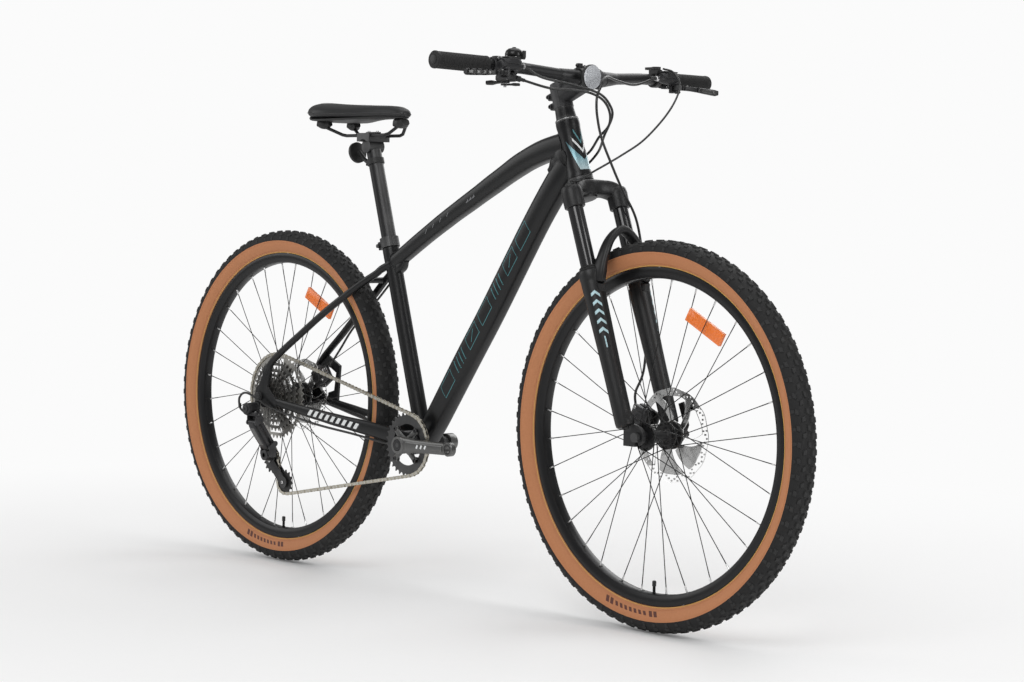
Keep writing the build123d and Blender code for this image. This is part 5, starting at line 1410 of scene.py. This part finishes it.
# rounded square housing: (z below the bar, scale)
for z, k in ((-28.6, 0.80), (-27.6, 0.93), (-25.5, 1.0), (-19.5, 1.0), (-17.0, 0.94),
             (-15.4, 0.78)):
    centre = vec(SHIFTER.x + 8, -206, SHIFTER.z + z)
    rings.append([centre + vec(signed_power(cos(turn(q, 36)), 0.62) * 18.5 * k,
                               signed_power(sin(turn(q, 36)), 0.62) * 18.5 * k, 0)
                  for q in range(36)])
part.skin(rings)
part.lathe((SHIFTER.x + 9, -205, SHIFTER.z - 16), Z,
           [(14, -0.4), (14, 0.8), (12.4, 2.2), (5, 3.0), (4.6, 2.2), (1, 2.2)], 36, 1)
along = (vec(950, -140, 1022) - HOUSING_START).normalized()
part.lathe(HOUSING_START - along * 9, along, [
    (4.6, 0), (5.6, 1), (5.2, 2), (5.6, 3), (5.2, 4), (5.6, 5), (5.2, 6), (5.6, 7),
    (5.6, 9), (4.2, 10), (3.5, 11), (3.4, 18), (2.7, 19)], 20)
part.rod(SHIFT_PIVOT - Z * 15.8, SHIFT_PIVOT + Z * 2, 2.95, 18, 2)
for k in (-1, 1):
    part.screw((SHIFTER.x + 8 + 12 * k, -206 + 12 * k, SHIFTER.z - 17.4), Z, 1.9, 1.4, 2)
part.make("shifter_pod", "black_moulded black_anodised machined_alloy", "front_end",
          ["shifter_body"], angle=36)


def paddle(name, lever, ring_z, ring_radius, points, widths, heights):
    """Thumb lever: a ring on the pivot and an arm through points measured from it."""
    part = Part()
    r = ring_radius
    part.lathe(SHIFT_PIVOT + Z * ring_z, Z, [(3.1, 0), (r - 0.4, 0), (r, 0.5), (r, 2.6),
                                             (r - 0.4, 3), (3.1, 3)], 28, cap=False)
    part.loft([SHIFT_PIVOT + vec(*p) for p in points], widths, heights, 0.6, n=20)
    part.make(name, "black_moulded", lever, [lever], angle=36)


paddle("shift_paddle", "shift_lever", -8, 9,
       [(-6, -1.5, -6.5), (-16, -4.5, -6.6), (-27, -8.6, -6.9), (-36, -12, -7.2)],
       [12, 11, 15, 14], [4, 5, 9, 8])
paddle("release_paddle", "release_lever", -12.5, 8,
       [(5, 1, -11), (13, 3, -11), (22, 5.4, -11.1), (29.5, 7.2, -11.3)],
       [10, 9, 12, 11], [3.4, 4, 6, 5.4])

# ------------------------------------------------------------------ stem screws and bell
part = Part()
face_out, face_up = vec(0.91, 0, 0.41).normalized(), vec(-0.41, 0, 0.91).normalized()
for y in (-14, 14):
    for up in (-17.5, 17.5):
        base = vec(928, y, 1046) + face_out * 5 + face_up * up
        part.lathe(base - face_out * 7, face_out,
                   [(4.6, 0), (5.4, 1), (5.4, 12.4), (4.8, 13.2), (3.6, 13.2)], 20)
        part.screw(base + face_out * 5.8, face_out, 3.3, 2.6, 1)
for up in (58, 38):
    part.block(steer(up, -22), STEER_UP * 6.8, STEER_AHEAD * 6.6, Y * 10.5, 3.0)
    part.screw(steer(up, -24, -11), -Y, 4.3, 3.4)
part.collar(steer(-0.4), steer(0.8), 23.4, 15, 48, 1, edge=0.3)
part.make("stem_screws", "black_cast machined_alloy", "front_end")

part = Part()
bell = bar_at(-186) + vec(4, 0, 18)
part.lathe(bell + Z * 2, Z, [(12, 0), (17.0, 0.2), (17.6, 1.6), (17.4, 5.6), (15.6, 10.6),
                             (10.6, 14.6), (4.0, 16.0), (3.6, 17.4), (0.6, 17.8)], 44)
part.lathe(bell - Z * 5, Z, [(10, 0), (13.5, 0.4), (14.2, 2), (14.2, 5), (13.2, 6.2),
                             (10, 6.4)], 36, 1)
part.make("bell_cover", "bell_black black_moulded", "front_end")

# ------------------------------------------------------------------ saddle fittings
RAIL_X, RAIL_Z = seat(649).x, seat(649).z + 23.0
part = Part()
part.loft([(RAIL_X + x, 0, RAIL_Z + z) for x, z in ((78, 26), (92, 24), (104, 28))],
          [26, 30, 22], [18, 20, 14], 0.6, per=5, n=20)
for side in (-1, 1):
    part.loft([(RAIL_X + x, y * side, RAIL_Z + z)
               for x, y, z in ((-128, 43, 27), (-114, 41, 24), (-101, 38, 28))],
              [22, 22, 16], [16, 20, 14], 0.6, per=5, n=20)
part.make("saddle_sockets", "black_moulded", "saddle")
part = Part()
for x in (-14, 14):
    part.screw((RAIL_X + x, 0, RAIL_Z + 7.6), Z, 3.4, 3.0)
part.make("saddle_clamp_screws", "machined_alloy", "saddle_clamp")

# ------------------------------------------------------------------ rear derailleur
part = Part()
part.lathe((-10, -79.4, 342), -Y, [
    (9, 0), (13.2, 1), (13.6, 6), (13.4, 16), (11.6, 22), (10.4, 24.8), (7.4, 25.4),
    (7.4, 27.2), (3.4, 27.4), (3.0, 25.6), (0.6, 25.6)], 32)
for k in (0, 9):
    part.screw((10 + k * 0.4, -94 + k * 0.6, 335 - k * 0.6), (0.9, 0, 0.3), 2.0, 5, 1)
part.make("rd_mount_cover", "black_cast machined_alloy", "rd_b_knuckle", angle=36)

part = Part()
top, bottom = vec(0, -92, 312), vec(0, -52, 256)
along = (bottom - top).normalized()
out = vec(0, along.z, -along.y)
middle = (top + bottom) / 2
part.loft([top - along * 3 + out * 3.6, top + along * 12 + out * 4.6, middle + out * 5.0,
           bottom - along * 12 + out * 4.4, bottom + along * 3 + out * 3.4],
          [20, 25.4, 25.8, 25, 19], [6, 7.5, 8, 7.5, 6], 0.5, per=5, n=28, side=X)
part.loft([top + along * 10 + out * 8.0, middle + out * 8.8, bottom - along * 12 + out * 7.8],
          [12, 14, 11], [1.6, 1.8, 1.6], 0.6, per=5, n=20, side=X, mat=1)
part.make("rd_outer_cover", "black_cast crank_grey", "rd_outer_link", angle=36)

part = Part()
part.lathe((-2, -36.4, 238), -Y, [
    (8, 0), (11.8, 0.6), (12.6, 3), (12.8, 12), (12.2, 18), (10, 21.4), (5, 22.6),
    (4.6, 21.6), (1, 21.6)], 32)
part.make("rd_spring_case", "black_cast", "rd_p_knuckle", angle=36)

part = Part()
for x, z in ((-13.306, 223.434), (34.872, 179.721)):
    part.screw((x, -32.5, z), -Y, 3.8, 2.2)
    part.lathe((x, -19.9, z), Y, [(5.2, 0), (5.2, 1.6), (4.2, 2.2), (1, 2.2)], 20)
part.make("rd_pulley_bolts", "machined_alloy", "rd_cage")


# ------------------------------------------------------------------ brake calipers
def caliper(wheel, angle, outer_y, body):
    """Two halves astride the rotor; angle places them round the axle."""
    part = Part()
    out = radial(radians(angle))
    around = round_from(out)
    rotor_y = wheel.rotor_y

    def at(beyond, y, along=0):
        """Point by its distance beyond the rotor's edge."""
        return wheel.hub + out * (wheel.rotor_radius + beyond) + around * along + Y * y

    for low, high in ((rotor_y - 14, rotor_y - 2.3), (rotor_y + 2.3, outer_y)):
        part.block(at(-3.5, (low + high) / 2), out * 17.5, around * 20,
                   Y * ((high - low) / 2), 3.2)
    part.block(at(10, rotor_y), out * 4.2, around * 17, Y * 3, 0.8)
    # piston cap, two clamping screws and the bleed nipple
    part.lathe(at(-8, rotor_y - 14), -Y, [(12, -0.6), (12, 1.2), (11, 2.2), (7, 2.4),
                                          (6.6, 1.6), (1, 1.6)], 32)
    for k in (-15, 15):
        part.screw(at(7, rotor_y - 13.6, k), -Y, 3.2, 2.6, 1)
    part.lathe(at(12, rotor_y - 8, 4), out, [(3.6, 0), (3.6, 4), (2.4, 5), (2.4, 9),
                                             (1.4, 10)], 12, 1)
    for y in (rotor_y - 4.4, rotor_y + 1.2):      # pads
        part.block(at(-8.5, y + 1.6), out * 11, around * 11.5, Y * 1.5, 0.5, 2)
    for k in (-6, 6):                             # fins
        part.block(at(13, rotor_y + k * 0.4), out * 3, around * 12, Y * 0.5, 0.2, 1)
    part.make(wheel.name + "_caliper_body", "black_cast machined_alloy black_moulded", body,
              [wheel.name + "_caliper"], angle=36)


caliper(FRONT, FRONT_CALIPER_ANGLE, 56.0, "fork_lowers")
caliper(REAR, 36, 66.5, "frame")


# ------------------------------------------------------------------ head tube marks
def head_point(up, angle, lift=0.3):
    """Point just off the head tube; angle is measured from straight ahead."""
    radius = interpolate([(h, r) for r, h in HEAD_WALL], up - HEAD_BASE) + lift
    return steer(up) + (STEER_AHEAD * cos(angle) + Y * sin(angle)) * radius


def head_gradient():
    """Vertical fade between two heights given in metres."""
    pale, middle, deep = (0.72, 0.84, 0.86), (0.22, 0.42, 0.48), (0.03, 0.085, 0.10)
    mat = surface("head_gradient", pale, pale, rough=0.3, metal=0.35, bump=0.02, coat=0.3)
    tree = mat.node_tree
    bsdf = tree.nodes["Principled BSDF"]
    tree.nodes.remove(bsdf.inputs["Base Color"].links[0].from_node)   # the mottled colour
    coords = add_node(tree, "TexCoord").outputs["Object"]
    split = add_node(tree, "SeparateXYZ", {0: coords})
    height = add_node(tree, "MapRange", {"Value": split.outputs["Z"], "From Min": 0.858,
                                         "From Max": 0.935})
    ramp = add_node(tree, "ValToRGB", {"Fac": height.outputs[0]})
    stops = ramp.color_ramp.elements
    stops[0].color = rgba(pale)
    stops[1].color = rgba(deep)
    stops.new(0.5).color = rgba(middle)
    set_inputs(tree, bsdf, {"Base Color": ramp.outputs["Color"]})


head_gradient()
part = Part()
rows = []
for j in range(9):
    g = j / 8
    row = []
    for i in range(33):
        f = i / 32 * 2 - 1
        row.append(head_point((1 - g) * -108 + g * (-88 + 44 * abs(f) ** 1.2),
                              radians((1 - g) * 36 * f + g * 80 * f)))
    rows.append(row)
part.grid(rows)
part.make("head_panel", "head_gradient", "frame")

# (name, lower edge, width in degrees, thickness, material)
for name, low, spread, thick, material in (("a", -74, 44, 7, "white_mark"),
                                           ("b", -56, 30, 6, "teal_mark")):
    for side in (-1, 1):
        part = Part()
        part.grid([[head_point(up + i / 8 * 26, radians(side * (i / 8) * spread), 0.4)
                    for up in (low, low + thick)] for i in range(9)])
        part.make(f"head_chevron_{name}{SIDE_NAME[side]}", material, "frame")

# ------------------------------------------------------------------ frame and fork marks
LINE_START = vec(548, 0, 410)
LINE_ALONG = vec(66, 0, 96).normalized()
LINE_UP = round_from(LINE_ALONG)


def stroke(s0, h0, s1, h1, width=1.3):
    """Straight line between two (along, up) places on the side of the down tube."""
    start = LINE_START + LINE_ALONG * s0 + LINE_UP * h0
    end = LINE_START + LINE_ALONG * s1 + LINE_UP * h1
    half = round_from((end - start).normalized()) * (width / 2)
    return [(p.x, p.z) for p in (start + half, end + half, end - half, start - half)]


lines = []
high = 12.5
for i in range(7):
    s = i * 62.0
    if i % 3 == 1:                  # four slanted bars
        lines += [stroke(s + 4 + k * 12, -high, s + 14 + k * 12, high, 2.2)
                  for k in range(4)]
    else:                           # slanted outline
        lines += [stroke(s, -high, s + 46, -high), stroke(s + 46, -high, s + 55, high),
                  stroke(s + 55, high, s + 9, high), stroke(s + 9, high, s, -high)]
    if i % 3 == 2:
        lines.append(stroke(s + 16, -high * 0.5, s + 40, high * 0.5, 1.6))
ticks = []
for i in range(4):
    x = 476 + i * 22
    z = 742 + (x - 476) * 0.55
    ticks.append([(x, z - 4), (x + 2.2, z - 3.2), (x + 6, z + 6), (x + 3.6, z + 5)])
for i in range(3):
    x = 600 + i * 9
    z = 806 + (x - 600) * 0.52
    ticks.append([(x, z - 4), (x + 7, z + 5.5), (x + 9.5, z + 1), (x + 4, z - 2.6)])
for side in (-1, 1):
    frame_decal("downtube_lines", side, lines, "teal_line", cut=12.0)
    frame_decal("toptube_ticks", side, ticks, "grey_line", cut=8.0)

chevrons = []                       # (across the leg, z)
for i in range(5):
    z = 560 + i * 17
    chevrons.append([(-8.5, z), (0, z + 7), (8.5, z), (8.5, z + 6), (0, z + 13),
                     (-8.5, z + 6)])
chevrons.append([(-1.3, 535), (1.3, 535), (1.3, 556), (-1.3, 556)])
for side in (-1, 1):
    inward = vec(-0.73, -side * 0.68, 0)

    def on_leg(across, z):
        centre = leg((z - HEAD_Z - STEER_COS * LEG_AHEAD) / STEER_SIN, side)
        return centre.x - inward.y * across, centre.y + inward.x * across, z

    decal("fork_chevrons_" + SIDE_NAME[side], FORK, "fork_lowers", chevrons, on_leg, inward,
          "mark_iceblue", cut=7.0)

# ------------------------------------------------------------------ floor
BACKDROP = (0.965, 0.965, 0.965, 1)
bm = bmesh.new()
bmesh.ops.create_grid(bm, x_segments=1, y_segments=1, size=14)
mesh = bpy.data.meshes.new("floor")
bm.to_mesh(mesh)
bm.free()
floor = link_object("floor", mesh)
pale = surface("floor_pale", 0.93, 0.95, rough=0.85, bump=0.02, scale=40, spec=0.1)
mesh.materials.append(pale)
# away from the bike the camera sees the floor fade into the backdrop
tree = pale.node_tree
position = add_node(tree, "NewGeometry").outputs["Position"]
distance = add_node(tree, "VectorMath", {0: position}, operation="LENGTH")
fade = add_node(tree, "MapRange", {"Value": distance.outputs["Value"], "From Min": 0.1,
                                   "From Max": 2.6}, interpolation_type="SMOOTHSTEP")
glow = add_node(tree, "Emission", {"Color": BACKDROP})
camera_ray = add_node(tree, "LightPath").outputs["Is Camera Ray"]
amount = add_node(tree, "Math", {0: fade.outputs[0], 1: camera_ray}, operation="MULTIPLY")
blend = add_node(tree, "MixShader", {0: amount.outputs[0], 2: glow.outputs[0],
                                     1: tree.nodes["Principled BSDF"].outputs[0]})
set_inputs(tree, tree.nodes["Material Output"], {0: blend.outputs[0]})

# ------------------------------------------------------------------ world
world = bpy.data.worlds.new("studio")
bpy.context.scene.world = world
world.use_nodes = True
tree = world.node_tree
ambient = tree.nodes["Background"]
set_inputs(tree, ambient, {"Color": (1, 1, 1, 1), "Strength": 0.30})
seen = add_node(tree, "Background", {"Color": BACKDROP})
camera_ray = add_node(tree, "LightPath").outputs["Is Camera Ray"]
blend = add_node(tree, "MixShader", {0: camera_ray, 1: ambient.outputs[0],
                                     2: seen.outputs[0]})
set_inputs(tree, tree.nodes["World Output"], {0: blend.outputs[0]})


# ------------------------------------------------------------------ lights, in metres
def area_light(name, location, target, size, power, size_y=None):
    light = bpy.data.lights.new(name, "AREA")
    light.energy = power
    light.shape = "RECTANGLE"
    light.size = size
    light.size_y = size_y or size
    obj = link_object(name, light)
    obj.location = location
    aim = Vector(target) - Vector(location)
    obj.rotation_euler = aim.to_track_quat("-Z", "Y").to_euler()


area_light("key", (1.6, -3.2, 3.2), target=(0, 0, 0.5), size=2.4, power=60)
area_light("fill", (-3.2, -2.2, 2.0), target=(0, 0, 0.5), size=2.2, power=26)
area_light("front", (3.6, 0.6, 1.6), target=(0.3, 0, 0.5), size=1.2, power=30, size_y=2.2)
area_light("top", (0, 0.6, 3.8), target=(0, 0, 0.3), size=3.0, power=45)
area_light("back", (-1.0, 3.2, 2.4), target=(0, 0, 0.6), size=2.4, power=40)

# ------------------------------------------------------------------ camera
CAMERA_AT = place(4036.9, -3147.0, 747.6)
YAW, PITCH, ROLL = radians(136.83), radians(-1.47), radians(1.32)
camera = bpy.data.cameras.new("cam")
camera_object = link_object("cam", camera)
camera.sensor_width = 36.0
camera.lens = 80.26
camera.shift_x, camera.shift_y = 0.01417, -0.05026
camera.clip_end = 100
view = vec(cos(PITCH) * cos(YAW), cos(PITCH) * sin(YAW), sin(PITCH))
level = view.cross(Z).normalized()
above = level.cross(view)
right = level * cos(ROLL) + above * sin(ROLL)
up = -level * sin(ROLL) + above * cos(ROLL)
matrix = Matrix((right, up, -view)).transposed().to_4x4()
matrix.translation = CAMERA_AT
camera_object.matrix_world = matrix
bpy.context.scene.camera = camera_object
bpy.context.scene.view_settings.view_transform = "Standard"
